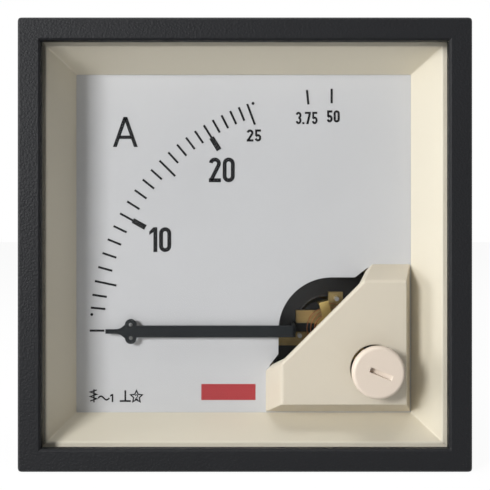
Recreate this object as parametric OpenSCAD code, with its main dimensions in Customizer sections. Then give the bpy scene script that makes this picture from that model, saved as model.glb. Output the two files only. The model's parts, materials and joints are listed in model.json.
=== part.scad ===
// Square panel meter: a moving-iron ammeter with a quadrant scale.
// Frame: front faces -Y, +X to the viewer's right, +Z up.
// Origin: centre of the panel cut-out, in the plane where the bezel meets the panel.

/* [Bezel] */
// Side of the square bezel
bezel_w = 96; // [86:1:110]
// How far the bezel stands in front of the panel
bezel_d = 8; // [7:0.5:12]
// Width of the bezel's front face around the opening
bezel_face_w = 4.9; // [4.4:0.1:6]
// Radius of the bezel's outer corners
bezel_corner_r = 0.9; // [0.4:0.1:2]
// Bevel of the bezel's front edges
bezel_bevel = 0.45; // [0.2:0.05:0.8]
// Length of each snap lug inside the bezel
lug_len = 14; // [6:1:24]

/* [Glass] */
// Depth of the glass behind the bezel's front face
glass_recess = 2.5; // [1.5:0.1:3.5]
// Thickness of the glass
glass_t = 2; // [1.5:0.1:2.4]
// How far the glass reaches under the bezel lip, each side
glass_lap = 1.0; // [0.6:0.1:1.2]
// Thickness of the dust seal between the bezel's lip and the glass
seal_t = 0.4; // [0.3:0.1:0.8]

/* [Case] */
// How far the bezel reaches past the case, each side
bezel_reach = 3; // [2.4:0.1:3.4]
// Depth of the case behind the panel plane
case_depth = 53; // [50:1:70]
// Wall of the case's sides
case_wall = 1.8; // [1.4:0.1:2]
// Wall of the case's back
back_wall = 2.2; // [1.6:0.1:4]
// Radius of the case's corners
case_corner_r = 2.5; // [1.5:0.1:4]
// Play between parts that slide together
play = 0.15; // [0.1:0.01:0.2]

/* [Mask and dial] */
// Width of the mask's slopes at the left and right
slope_side = 4.8; // [4:0.1:7]
// Width of the mask's slopes at the top and bottom
slope_end = 4.45; // [4:0.05:7]
// Wall of the mask's body where the slopes start
mask_edge_t = 0.3; // [0.2:0.05:0.6]
// Wall of the mask
mask_wall = 1.2; // [0.8:0.1:1.4]
// Thickness of the mask's flange behind the glass
mask_flange_t = 1; // [0.6:0.1:1.4]
// Depth of the dial's face behind the bezel's front face
dial_depth = 14; // [12:0.5:16]
// Thickness of the dial plate
dial_t = 0.8; // [0.5:0.1:1.2]
// Radius of the dial's aperture about the pivot
aperture_r = 12.1; // [11:0.1:13]
// Gap between the scale marks and the window's edge
scale_margin = 2.9; // [2:0.1:5]
// Length of the fine scale marks
mark_len = 3.3; // [2:0.1:5]
// Length of every fifth mark
mark_mid_len = 5; // [3:0.1:7]
// Width of a fine mark
mark_w = 0.48; // [0.3:0.02:0.8]
// Width of the thick inner block on every tenth mark
mark_block_w = 1.2; // [0.6:0.05:1.4]
// Thickness of the ink layer
ink_t = 0.08; // [0.05:0.01:0.2]

/* [Corner cover] */
// Width of the corner cover
cover_w = 32.8; // [30:0.1:34]
// Height of the corner cover
cover_h = 33.5; // [30:0.1:34.5]
// How far the cover stands above the dial
cover_rise = 8; // [7:0.25:8.25]
// Inset of the cover's top face from its foot, above and below
cover_bevel = 3.2; // [2:0.1:4]
// Inset of the cover's top face at the left
cover_bevel_left = 2.9; // [2:0.05:4]
// Inset of the cover's top face at the right
cover_bevel_right = 2.55; // [2:0.05:4]
// Wall of the cover
cover_wall = 1.4; // [1:0.1:1.8]
// Distance of the diagonal cut from the pivot
cut_from_pivot = 4.14; // [3.6:0.02:5]
// Radius of the hole for the zero adjuster
cover_hole_r = 5.25; // [4.7:0.05:5.4]

/* [Zero adjuster] */
// Radius of the adjuster's head
knob_r = 5.65; // [5.2:0.05:6.2]
// Height of the adjuster's head
knob_h = 1.8; // [1.4:0.1:2.2]
// Radius of the adjuster's shank
shank_r = 3; // [2.5:0.1:3.4]
// Distance of the adjuster's axis to the right of the pivot
knob_dx = 8.4; // [7.8:0.1:9]
// Distance of the adjuster's axis below the pivot
knob_dz = 7.4; // [7:0.1:8]
// Throw of the eccentric pin
crank_throw = 1.6; // [1.2:0.1:1.9]
// Radius of the eccentric pin
crank_pin_r = 0.6; // [0.5:0.05:0.7]
// Length of the screwdriver slot
slot_len = 5; // [4:0.1:7]
// Width of the screwdriver slot
slot_w = 1.05; // [0.8:0.05:1.3]
// Angle of the slot below horizontal
slot_turn = 22.5; // [0:0.5:45]

/* [Movement] */
// Distance of the pivot from the window's right edge
pivot_inset_x = 17.9; // [17:0.1:19]
// Distance of the pivot from the window's lower edge
pivot_inset_z = 18.45; // [18:0.05:19.5]
// Radius of the staff
staff_r = 0.6; // [0.5:0.05:0.8]
// Radius of the jewel screws
jewel_r = 1.25; // [1.1:0.05:1.4]
// Sheet thickness of the frame parts
sheet_t = 1.2; // [1:0.1:1.4]
// Length of the coil former
coil_len = 25.6; // [24:0.2:27]
// Radius of the former's flanges
flange_r = 15.4; // [14.8:0.1:15.8]
// Thickness of the former's flanges
flange_t = 1.6; // [1.2:0.1:2]
// Radius of the former's bore
former_bore_r = 7.5; // [7.3:0.1:7.8]
// Wall of the former's tube
former_wall = 1; // [0.8:0.1:1.2]
// Diameter of the coil wire
wire_d = 2.2; // [1.8:0.05:2.3]
// Length of the two irons
iron_len = 14; // [10:0.5:16]
// Thickness of the two irons
iron_t = 0.6; // [0.4:0.05:0.7]

/* [Pointer] */
// Gap between the pointer's tip and the outer ends of the marks
pointer_gap = 3.8; // [3.5:0.1:6]
// Width of the pointer's bar
pointer_w = 2.65; // [2:0.05:3]
// Thickness of the pointer's sheet
pointer_t = 0.5; // [0.4:0.05:0.7]
// Height of the pointer above the dial
pointer_lift = 1.3; // [1:0.1:2]
// Radius of the pointer's rear bend from the pivot
pointer_bend_r = 8.75; // [8.4:0.05:9.4]
// Distance of the pair of rings behind the pointer's tip
ring_back = 5.7; // [5.5:0.1:9]
// Outer radius of each ring
ring_r = 1.3; // [1.1:0.05:1.5]
// Radius of the hole in each ring
ring_hole_r = 0.45; // [0.3:0.05:0.6]

/* [Terminals and clamps] */
// Distance between the two terminals
terminal_pitch = 36; // [32:1:44]
// Height of the terminals above the centre
terminal_z = 16; // [12:0.5:24]
// Radius of a terminal stud
stud_r = 3; // [2.5:0.5:3]
// Length of stud that stands out of the back
stud_out = 20; // [18:0.5:24]
// Width across flats of the terminal nuts
nut_af = 10; // [9:0.5:11]
// Radius of a clamp spindle
spindle_r = 2; // [1.5:0.25:2]
// Distance of a clamp spindle's axis from the case's side
spindle_off = 3.6; // [3.5:0.1:4]
// Gap between the bezel and the spindles' tips
panel_gap = 5; // [4.5:0.5:8]
// Width of a clamp bracket
bracket_w = 14; // [10:1:20]
// Sheet thickness of a clamp bracket
bracket_t = 1.2; // [1:0.1:1.4]

/* [Hidden] */
$fn = 48;
eps = 0.01;
far = 200;

// Planes along the depth
bezel_front = -bezel_d;
glass_front = bezel_front + glass_recess;
glass_back = glass_front + glass_t;
case_front = glass_back + mask_flange_t;
dial_front = bezel_front + dial_depth;
dial_back = dial_front + dial_t;
cover_top = dial_front - cover_rise;
case_back = case_depth;
floor_y = case_back - back_wall;

// Case, bezel and mask
opening_w = bezel_w - 2 * bezel_face_w;
case_w = bezel_w - 2 * bezel_reach;
case_in_w = case_w - 2 * case_wall;
case_in_r = case_corner_r - case_wall + 0.8;
mask_body_w = case_in_w - 0.4;
slope_w = mask_body_w - 2 * mask_edge_t;
window_w = slope_w - 2 * slope_side;
window_h = slope_w - 2 * slope_end;
post_half = 2;
post_at = case_in_w / 2 - 1.85;
dial_screw_at = [[-post_at, post_at], [post_at, -post_at]];
glass_w = opening_w + 2 * glass_lap;
glass_pocket_w = glass_w + 2 * play;
case_pocket_w = case_w + 2 * play;
lug_h = 0.5;
lug_y = -1.8;
lug_t = 1;

// Pivot and adjuster axes
pivot_x = window_w / 2 - pivot_inset_x;
pivot_z = -window_h / 2 + pivot_inset_z;
knob_x = pivot_x + knob_dx;
knob_z = pivot_z - knob_dz;
knob_dist = norm([knob_dx, knob_dz]);
knob_dir = atan2(-knob_dz, knob_dx);

// Scale and pointer
scale_r = min(window_w - pivot_inset_x, window_h - pivot_inset_z) - scale_margin;
pointer_r = scale_r - pointer_gap;
ring_pos_r = pointer_r - ring_back;

// Corner cover
cover_gap = 0.05;
cover_x1 = window_w / 2 - cover_gap;
cover_x0 = cover_x1 - cover_w;
cover_z0 = -window_h / 2 + cover_gap;
cover_z1 = cover_z0 + cover_h;
cut_sum = pivot_x - pivot_z - cut_from_pivot * sqrt(2);
cover_lap = 0.9;
tab_w = 4.6;
peg_r = 0.8;
peg_at = [
    [cover_x0 + cover_lap + tab_w / 2, cover_z0 + cover_lap + tab_w / 2],
    [cover_x1 - cover_lap - tab_w / 2, cover_z1 - cover_lap - tab_w / 2]
];

// Movement planes, front to back
lever_t = 0.6;
pointer_front = dial_front - pointer_lift - pointer_t;
lever_y = dial_back + 0.1;
bridge_y = lever_y + lever_t + 0.3;
spring_y = bridge_y + sheet_t + 0.9;
spring_h = 0.8;
arm_y = spring_y + spring_h + 1.3;
cross_t = 0.4;
cheek_y = arm_y + pointer_t + cross_t + 0.6;
coil_y = cheek_y + sheet_t;
base_y = coil_y + coil_len;
base_t = 1.5;
cup_r = 0.8;
cup_depth = 1;
front_nut_r = 2.6;
front_nut_t = 1;
rear_nut_r = 2.9;
rear_nut_t = 1.2;
nut_gap = 0.1;
tip_gap = 0.15;
front_jewel = bridge_y + sheet_t + 0.3;
rear_jewel = base_y - 0.3;
vane_y = coil_y + 3.5;

// Pointer's fold
pointer_bend = 0.6;
pointer_bend_in = pointer_bend + pointer_t;

// Movement radii
hub_r = 1.35;
spring_r0 = hub_r + 0.1;
spring_r1 = 6;
spring_t = 0.14;
spring_turns = 5;
lug_dir = 105;
collar_r = 2.2;
cross_r = 8.2;
weight_r = 0.9;
stop_r = 7;
stop_pin_r = 0.5;
stop_reach = 0.8;
foot_half = 1;
swing_lo = -2;
swing_hi = 92;
stop_gap = asin((foot_half + stop_pin_r + play) / stop_r);
strap_up = 3.9;
strap_down = 4.4;
arm_half = 1.45;
bridge_w = 5;
bridge_clear = 4.4;
notch_x = 7.5;
pillar_r = 1.8;
pillar_dist = 17.6;
boss_r = 3.2;
frame_screw_r = 1.5;
frame_head_r = 2.7;
frame_head_h = 1.5;
frame_bite = floor_y - base_y - base_t - 3.5;
small_screw_r = 1.1;
small_head_r = 2.2;
small_head_h = 1.2;
small_bite = 4;
pillar_at = [
    [-pillar_dist, -strap_down + arm_half],
    [pillar_dist, 0],
    [0, -pillar_dist]
];
base_lo = [-20, -21];
base_hi = [20.5, 20.5];
boss_at = [for (x = [base_lo.x + 3.6, base_hi.x - 3.4], z = [base_lo.y + 3.6, base_hi.y - 3.6]) [x, z]];

// Coil
turn_count = floor((coil_len - 2 * flange_t) / wire_d);
layer_count = 2;
turns_y = coil_y + coil_len / 2 - turn_count * wire_d / 2;
layer_r0 = former_bore_r + former_wall + 0.05;
lead_r = wire_d / 2 - 0.08;
lead_bend = 3;

// Terminals and clamps
stud_head_t = 3;
washer_t = 1;
washer_r = 5.8;
nut_t = 4;
stud_end = case_back + stud_out;
pilot_r = stud_r - 0.25;
pilot_len = 6;
pad_y = case_back + 1.2;
cable_y = pad_y + washer_t + nut_t;
cable_gap = 2.4;
barrier_t = 2.4;
barrier_w = 22;
barrier_h = 9;
spindle_x = case_w / 2 + spindle_off;
spindle_end = case_back + 6;
bracket_y0 = 24;
bracket_y1 = 46;
hook_w = 3;
hook_z = 4;
hook_y = bracket_y0 + 3;

// ---- Helpers ----

// A flat outline in the XZ plane, thickened from y0 to y1
module slab(y0, y1) {
    translate([0, y1, 0]) rotate([90, 0, 0]) linear_extrude(y1 - y0) children();
}

// A round bar along Y
module bar(y0, y1, r) {
    translate([0, y0, 0]) rotate([-90, 0, 0]) cylinder(h = y1 - y0, r = r);
}

// A profile of [radius, y] turned about the Y axis
module turned() {
    rotate([-90, 0, 0]) rotate_extrude() children();
}

// Places its children on the pivot's axis
module at_pivot() {
    translate([pivot_x, 0, pivot_z]) children();
}

// A square with round corners
module rounded(w, h, r) {
    square([w, h - 2 * r], center = true);
    square([w - 2 * r, h], center = true);
    for (x = [-1, 1], z = [-1, 1])
        translate([x * (w / 2 - r), z * (h / 2 - r)]) circle(r);
}

// A four-sided funnel between two rectangles, in planes y0 and y1; x0 and x1 are their middles
module funnel(y0, w0, h0, y1, w1, h1, x0 = 0, x1 = 0) {
    intersection() {
        translate([0, 0, -far / 2]) linear_extrude(far)
            polygon([[x0 - w0 / 2, y0], [x0 + w0 / 2, y0], [x1 + w1 / 2, y1], [x1 - w1 / 2, y1]]);
        translate([-far / 2, 0, 0]) rotate([90, 0, 90]) linear_extrude(far)
            polygon([[y0, -h0 / 2], [y0, h0 / 2], [y1, h1 / 2], [y1, -h1 / 2]]);
    }
}

// A sector of a disc between two angles, measured from +X towards +Z
module sector(r, a0, a1) {
    steps = ceil((a1 - a0) / 15);
    polygon(concat([[0, 0]],
        [for (i = [0 : steps]) r * [cos(a0 + (a1 - a0) * i / steps), sin(a0 + (a1 - a0) * i / steps)]]));
}

// The points of a path whose corners are rounded with radius r
function unit(v) = v / norm(v);
function corner_arc(a, b, c, r, n) =
    let (u = unit(a - b), v = unit(c - b), half = acos(u * v) / 2,
         reach = r / tan(half), centre = b + unit(u + v) * r / sin(half),
         p = b + u * reach - centre, q = b + v * reach - centre,
         turn = atan2(p.x * q.y - p.y * q.x, p * q))
    [for (i = [0 : n]) let (t = turn * i / n)
        centre + [p.x * cos(t) - p.y * sin(t), p.x * sin(t) + p.y * cos(t)]];
function rounded_path(pts, r, n = 5) = concat([pts[0]],
    [for (i = [1 : len(pts) - 2]) each corner_arc(pts[i - 1], pts[i], pts[i + 1], r, n)],
    [pts[len(pts) - 1]]);
function side_of(pts, d) = [for (i = [0 : len(pts) - 1])
    let (a = pts[max(i - 1, 0)], b = pts[min(i + 1, len(pts) - 1)], u = unit(b - a))
    pts[i] + d * [-u.y, u.x]];
function reversed(v) = [for (i = [len(v) - 1 : -1 : 0]) v[i]];

// A folded strip: the section of a sheet of thickness t along a path
module strip_section(pts, t, bend_r) {
    path = rounded_path(pts, bend_r);
    polygon(concat(side_of(path, t / 2), reversed(side_of(path, -t / 2))));
}

// ---- Housing ----

// The square frame in front of the panel, with an inner lip over the glass
module bezel() {
    e = bezel_bevel;
    color("#26282b") difference() {
        intersection() {
            slab(bezel_front, 0) rounded(bezel_w, bezel_w, bezel_corner_r);
            funnel(bezel_front, bezel_w - 2 * e, bezel_w - 2 * e,
                bezel_front + bezel_w, 3 * bezel_w - 2 * e, 3 * bezel_w - 2 * e);
        }
        slab(bezel_front - 1, 1) square(opening_w, center = true);
        funnel(bezel_front - 1, opening_w + 2 * e + 2, opening_w + 2 * e + 2,
            bezel_front + e, opening_w, opening_w);
        slab(glass_front - seal_t, 1) square(glass_pocket_w, center = true);
        slab(case_front, 1) rounded(case_pocket_w, case_pocket_w, case_corner_r);
    }
    color("#26282b") for (a = [0 : 90 : 270]) rotate([0, a, 0]) snap_lug(0);
}

// One snap lug on the bezel's inner wall, or the notch for it when grown
module snap_lug(grow) {
    x0 = case_pocket_w / 2 - lug_h - grow;
    translate([0, 0, -lug_len / 2 - grow]) linear_extrude(lug_len + 2 * grow)
        polygon([[x0, lug_y - grow], [x0, lug_y + lug_t / 2 + grow],
            [x0 + lug_h + 0.3 + grow, lug_y + lug_t + lug_h / 2 + grow],
            [x0 + lug_h + 0.3 + grow, lug_y - lug_h / 2 - grow]]);
}

// The flat pane, with the hole for the adjuster's shank
module front_glass() {
    color("#dfe6e2", 0.3) difference() {
        slab(glass_front, glass_back) square(glass_w, center = true);
        translate([knob_x, 0, knob_z]) bar(glass_front - 1, glass_back + 1, shank_r + 0.06);
    }
}

// The dust seal between the bezel's lip and the glass
module glass_seal() {
    color("#1a1a1a") slab(glass_front - seal_t, glass_front) difference() {
        square(glass_w, center = true);
        square(opening_w + 0.4, center = true);
    }
}

// The open-fronted housing with its bosses, corner pillars and clamp slots
module case() {
    color("#1d1e20") difference() {
        union() {
            difference() {
                slab(case_front, case_back) rounded(case_w, case_w, case_corner_r);
                slab(case_front - 1, floor_y) rounded(case_in_w, case_in_w, case_in_r);
            }
            intersection() {
                slab(dial_back, floor_y + 1) rounded(case_in_w + 0.4, case_in_w + 0.4, case_in_r + 0.2);
                for (x = [-1, 1], z = [-1, 1]) translate([x * post_at, 0, z * post_at])
                    slab(dial_back, floor_y + 1) square(2 * post_half, center = true);
            }
            at_pivot() for (p = boss_at) translate([p.x, 0, p.y]) bar(base_y + base_t, floor_y + 1, boss_r);
            slab(case_back - 1, case_back + barrier_h) translate([0, terminal_z])
                square([barrier_t, barrier_w], center = true);
            for (s = [-1, 1]) translate([s * terminal_pitch / 2, 0, terminal_z])
                bar(case_back - 1, pad_y, washer_r + 1.6);
        }
        for (a = [0 : 90 : 270]) rotate([0, a, 0]) snap_lug(0.1);
        for (s = [-1, 1]) translate([s * terminal_pitch / 2, 0, terminal_z])
            bar(floor_y - 1, pad_y + 1, stud_r + 0.1);
        for (s = [-1, 1], z = [-1, 1]) translate([s * case_w / 2, 0, z * hook_z])
            slab(hook_y, hook_y + hook_w + 2 * play)
                square([2 * case_wall + 1, hook_w + 2 * play], center = true);
        at_pivot() for (p = boss_at) translate([p.x, 0, p.y])
            bar(base_y - 1, floor_y - 1, frame_screw_r - 0.05);
        for (c = dial_screw_at) translate([c.x, 0, c.y]) bar(dial_back - 1, dial_back + 7, 0.8);
    }
}

// The pale inner frame: a flat flange behind the glass and four slopes down to the dial window
module mask() {
    color("#e9e1cb") difference() {
        union() {
            slab(glass_back, case_front) square(glass_w, center = true);
            intersection() {
                slab(glass_back, dial_front) rounded(mask_body_w, mask_body_w, 1.4);
                funnel(glass_back, slope_w + 2 * mask_wall, slope_w + 2 * mask_wall,
                    dial_front, window_w + 2 * mask_wall, window_h + 2 * mask_wall);
            }
        }
        mask_hollow();
    }
}

// The hollow inside the mask, a little longer than the mask at both ends
module mask_hollow() {
    depth = dial_front - glass_back;
    k = 1 + 1 / depth;
    grow_w = (slope_w - window_w) * (k - 1);
    grow_h = (slope_w - window_h) * (k - 1);
    funnel(glass_back - 1, slope_w + grow_w, slope_w + grow_h,
        dial_front + 1, window_w - grow_w, window_h - grow_h);
}

// ---- Dial ----

// The outline that is cut out of the dial: an arc about the pivot, then flares under the cover
module dial_cutout() {
    x0 = pivot_x - aperture_r;
    z1 = pivot_z + aperture_r;
    flare = 5.3;
    inner_x0 = cover_x0 + cover_lap;
    inner_z1 = cover_z1 - cover_lap;
    inner_x1 = cover_x1 - cover_lap;
    inner_z0 = cover_z0 + cover_lap;
    difference() {
        union() {
            translate([pivot_x, pivot_z]) circle(aperture_r, $fn = 96);
            polygon([[x0, pivot_z], [x0, pivot_z - flare],
                [inner_x0, pivot_z - flare - (x0 - inner_x0) * 1.3],
                [inner_x0, inner_z0], [inner_x1, inner_z0], [inner_x1, inner_z1],
                [pivot_x + flare + (inner_z1 - z1) * 1.3, inner_z1], [pivot_x + flare, z1], [pivot_x, z1]]);
        }
        translate([inner_x0, inner_z0]) square(tab_w);
        translate([inner_x1 - tab_w, inner_z1 - tab_w]) square(tab_w);
    }
}

// The printed plate
module dial_plate() {
    size = case_in_w - 0.8;
    color("#cfd2d3") slab(dial_front, dial_back) difference() {
        rounded(size, size, 1.5);
        dial_cutout();
        for (p = peg_at) translate(p) circle(peg_r + 0.08);
        for (c = dial_screw_at) translate(c) circle(0.95);
    }
}

// Angle of a scale value, from the zero mark towards full scale: a square law that flattens out,
// then a crowded overload stretch
full_value = 25;
overload_value = 50;
function swing_of(v) = 196.3 * v * v / (v * v + 37.44 * v + 202.8);
function mark_angle(v) = v <= full_value
    ? swing_of(v)
    : swing_of(full_value) + (90 - swing_of(full_value))
        * (1 - pow(1 - (v - full_value) / (overload_value - full_value), 1.8));

// One mark: a thin bar from radius r0 to r1
module mark(v, r1, len, w) {
    rotate(180 - mark_angle(v)) translate([r1 - len, -w / 2]) square([len, w]);
}

// The ink of the scale, one thin solid for each mark
module scale_marks() {
    dot_r = 0.33;
    color("#1b1b1b") translate([pivot_x, 0, pivot_z]) slab(dial_front - ink_t, dial_front) {
        mark(0, scale_r, mark_len, mark_w);
        for (v = [3 : full_value]) if (v % 10 != 0)
            mark(v, scale_r, v % 5 == 0 ? mark_mid_len : mark_len, mark_w);
        for (v = [10, 20]) {
            mark(v, scale_r, mark_len + eps, mark_w);
            mark(v, scale_r - mark_len, mark_len, mark_block_w);
        }
        for (v = [37.5, overload_value]) mark(v, scale_r, mark_len, mark_w);
        for (a = [3.85, 70.9]) rotate(180 - a) translate([scale_r - dot_r, 0]) circle(dot_r);
    }
}

// Two small screws that hold the dial to the case's corner pillars
module dial_screws() {
    color("#9a9da0") for (c = dial_screw_at) translate([c.x, 0, c.y]) difference() {
        union() {
            bar(dial_front - 0.9, dial_front, 1.4);
            bar(dial_front - eps, dial_back + 5, 0.75);
        }
        slab(dial_front - 1, dial_front - 0.5) square([3, 0.4], center = true);
    }
}

// ---- Corner cover ----

// The cover's outer form, or its hollow when shrunk by a wall
module cover_body(shrink, y0) {
    w = cover_w - 2 * shrink;
    h = cover_h - 2 * shrink;
    lean_x = (cover_bevel_left + cover_bevel_right) / 2 / cover_rise;
    lean_z = cover_bevel / cover_rise;
    drift = (cover_bevel_left - cover_bevel_right) / 2 / cover_rise;
    rise = cover_rise - shrink;
    foot = y0 - dial_front;
    translate([(cover_x0 + cover_x1) / 2, 0, (cover_z0 + cover_z1) / 2])
        funnel(dial_front - rise, w - 2 * lean_x * rise, h - 2 * lean_z * rise,
            y0, w + 2 * lean_x * foot, h + 2 * lean_z * foot, drift * rise, -drift * foot);
}

// The bevelled cover over the movement, cut off upright along a diagonal
module corner_cover() {
    color("#d8d0b8") difference() {
        union() {
            difference() {
                cover_body(0, dial_front);
                cover_body(cover_wall, dial_front + 1);
            }
            intersection() {
                for (p = peg_at) translate([p.x, 0, p.y]) bar(cover_top, dial_front, 1.8);
                cover_body(0.2, dial_front + 1);
            }
            for (p = peg_at) translate([p.x, 0, p.y]) bar(dial_front - 2, dial_back + 1, peg_r);
        }
        slab(cover_top - 1, dial_back + 2) polygon([[cut_sum - far, -far], [cut_sum + far, far],
            [-far, far], [-far, -far]]);
        translate([knob_x, 0, knob_z]) bar(cover_top - 1, cover_top + cover_wall + 1, cover_hole_r);
    }
}

// ---- Zero adjuster ----

// The slotted head in front of the glass, its shank and the eccentric pin
module zero_screw() {
    top = glass_front - 0.1 - knob_h;
    round_r = 0.8;
    shank_end = cover_top + 4.5;
    pin_end = lever_y + lever_t + 0.2;
    color("#e3dacb") translate([knob_x, 0, knob_z]) {
        difference() {
            turned() union() {
                translate([0, top]) square([knob_r - round_r, knob_h]);
                translate([0, top + round_r]) square([knob_r, knob_h - round_r]);
                translate([knob_r - round_r, top + round_r]) circle(round_r);
                translate([0, top + knob_h - eps]) square([shank_r, shank_end - top - knob_h + eps]);
            }
            rotate([0, slot_turn, 0]) translate([0.5, 0, -slot_w / 2]) linear_extrude(slot_w)
                polygon([[-slot_len / 2, top - 1], [slot_len / 2, top - 1], [slot_len / 2, top + 0.25],
                    [-slot_len / 2 + 0.9, top + 1.5], [-slot_len / 2, top + 1.5]]);
        }
        rotate([0, -knob_dir, 0]) translate([-crank_throw, 0, 0]) bar(shank_end - eps, pin_end, crank_pin_r);
    }
}

// The spring clip that keeps the adjuster in the glass
module zero_screw_clip() {
    color("#b9bcbe") translate([knob_x, 0, knob_z]) slab(glass_back + 0.15, glass_back + 0.75) difference() {
        circle(shank_r + 1.4);
        circle(shank_r + 0.02);
        rotate(-135) translate([0, -1.6]) square([2 * shank_r, 3.2]);
    }
}

// The forked brass lever about the front collar, with the lug that holds the hairspring's end
module zero_lever() {
    fork_in = knob_dist - crank_throw - crank_pin_r - 0.9;
    fork_out = knob_dist - crank_throw + crank_pin_r + 0.8;
    fork_half = crank_pin_r + play;
    prong = 1;
    lug_r = spring_r1 + 0.1;
    color("#b08d3e") at_pivot() {
        slab(lever_y, lever_y + lever_t) difference() {
            union() {
                circle(collar_r + 1.3);
                rotate(knob_dir) translate([0, -fork_half - prong])
                    square([fork_out, 2 * (fork_half + prong)]);
                rotate(lug_dir) translate([0, -1.1]) square([lug_r + lever_t, 2.2]);
            }
            circle(collar_r + 0.05);
            rotate(knob_dir) translate([fork_in, -fork_half]) square([far, 2 * fork_half]);
        }
        rotate([0, -lug_dir, 0]) translate([lug_r, lever_y + lever_t - eps, -1.1])
            cube([lever_t, spring_y + spring_h - lever_y - lever_t + eps, 2.2]);
    }
}

// ---- Moving system ----

// Outline of the pointer's front bar: blade, neck, pair of rings and bar
module pointer_outline() {
    blade_half = 0.5;
    neck0 = ring_pos_r + 3;
    neck1 = ring_pos_r + 1.1;
    ring_off = pointer_w / 2 + ring_hole_r - 0.28;
    difference() {
        union() {
            translate([-pointer_r, -blade_half]) square([pointer_r - neck0 + 0.4, 2 * blade_half]);
            polygon([[-neck0 - 0.1, -blade_half], [-neck0 - 0.1, blade_half],
                [-neck0 + 0.7, blade_half + 0.25], [-neck1, pointer_w / 2 + 0.35],
                [-neck1, -pointer_w / 2 - 0.35], [-neck0 + 0.7, -blade_half - 0.25]]);
            translate([-neck1 - 0.1, -pointer_w / 2])
                square([neck1 + 0.1 - pointer_bend_r - pointer_bend_in, pointer_w]);
            for (s = [-1, 1]) translate([-ring_pos_r, s * ring_off]) circle(ring_r, $fn = 32);
        }
        for (s = [-1, 1]) translate([-ring_pos_r, s * ring_off]) circle(ring_hole_r, $fn = 24);
    }
}

// The pointer: one folded strip from the tip, back through the aperture, to the staff
module pointer() {
    color("#22282a") at_pivot() difference() {
        union() {
            slab(pointer_front, pointer_front + pointer_t) pointer_outline();
            translate([0, 0, -pointer_w / 2]) linear_extrude(pointer_w) pointer_fold();
            slab(arm_y, arm_y + pointer_t) circle(hub_r + 0.35);
        }
        bar(arm_y - 1, arm_y + 1, staff_r + 0.02);
        for (s = [-1, 1]) translate([-pointer_bend_r + 1.2, arm_y - 1.5, s * (foot_half + 1) - 1])
            cube([pointer_bend_r, 3, 2]);
    }
}
module pointer_fold() {
    mid = pointer_t / 2;
    strip_section([
        [-pointer_bend_r - pointer_bend_in - 1, pointer_front + mid],
        [-pointer_bend_r + mid, pointer_front + mid],
        [-pointer_bend_r + mid, arm_y + mid],
        [-staff_r, arm_y + mid]], pointer_t, pointer_bend);
}

// The steel staff with a cone at each end
module staff() {
    tip = 0.08;
    cone = 1.3;
    front_tip = front_jewel - cup_depth + tip_gap;
    rear_tip = rear_jewel + cup_depth - tip_gap;
    color("#a9adb0") at_pivot() turned() polygon([
        [0, front_tip], [tip, front_tip], [staff_r, front_tip + cone],
        [staff_r, rear_tip - cone], [tip, rear_tip], [0, rear_tip]]);
}

// The brass hub that carries the inner end of the hairspring
module spring_hub() {
    color("#b5923f") at_pivot() difference() {
        bar(spring_y - 0.2, arm_y, hub_r);
        bar(spring_y - 1, arm_y + 1, staff_r + 0.02);
    }
}

// Two balance arms on one ring, behind the pointer's foot
module balance_cross() {
    y0 = arm_y + pointer_t;
    color("#a7a39a") at_pivot() slab(y0, y0 + cross_t) difference() {
        union() {
            circle(hub_r + 0.35);
            for (a = [-45, 45]) rotate(a) translate([0, -0.5]) square([cross_r, 1]);
        }
        circle(staff_r + 0.02);
    }
}

// The balance weights, seated on the arms
module balance_weights() {
    y0 = arm_y + pointer_t;
    color("#c6c2b6") at_pivot() for (a = [-45, 45]) rotate([0, -a, 0]) translate([cross_r - weight_r, 0, 0])
        bar(y0 - 0.9, y0, weight_r);
}

// The moving iron: a curved vane on two thin webs
module moving_iron() {
    r = former_bore_r - 2.2;
    web_t = 0.5;
    y0 = vane_y;
    color("#7c7f82") at_pivot() {
        slab(y0, y0 + iron_len) intersection() {
            difference() {
                circle(r);
                circle(r - iron_t);
            }
            sector(2 * r, 150, 205);
        }
        for (y = [y0, y0 + iron_len - web_t]) slab(y, y + web_t) difference() {
            union() {
                circle(staff_r + 0.8);
                intersection() {
                    circle(r - iron_t / 2);
                    sector(2 * r, 165, 190);
                }
            }
            circle(staff_r + 0.02);
        }
    }
}

// The disc that turns in the damping fluid
module damping_disc() {
    y1 = base_y - 2.2;
    color("#b8babc") at_pivot() difference() {
        union() {
            bar(y1 - 0.6, y1, 3.6);
            bar(y1 - 2, y1 - 0.6 + eps, 1.5);
        }
        bar(y1 - 3, y1 + 1, staff_r + 0.02);
    }
}

// The flat spiral spring
module hairspring() {
    steps = spring_turns * 24;
    sweep = 360 * spring_turns;
    path = [for (i = [0 : steps]) let (a = lug_dir - sweep * (1 - i / steps),
        r = spring_r0 + spring_t + (spring_r1 - spring_r0 - 1.5 * spring_t) * i / steps)
        [r * cos(a), r * sin(a)]];
    color("#b5764a") at_pivot() slab(spring_y, spring_y + spring_h)
        polygon(concat(side_of(path, spring_t / 2), reversed(side_of(path, -spring_t / 2))));
}

// ---- Movement frame ----

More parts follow.
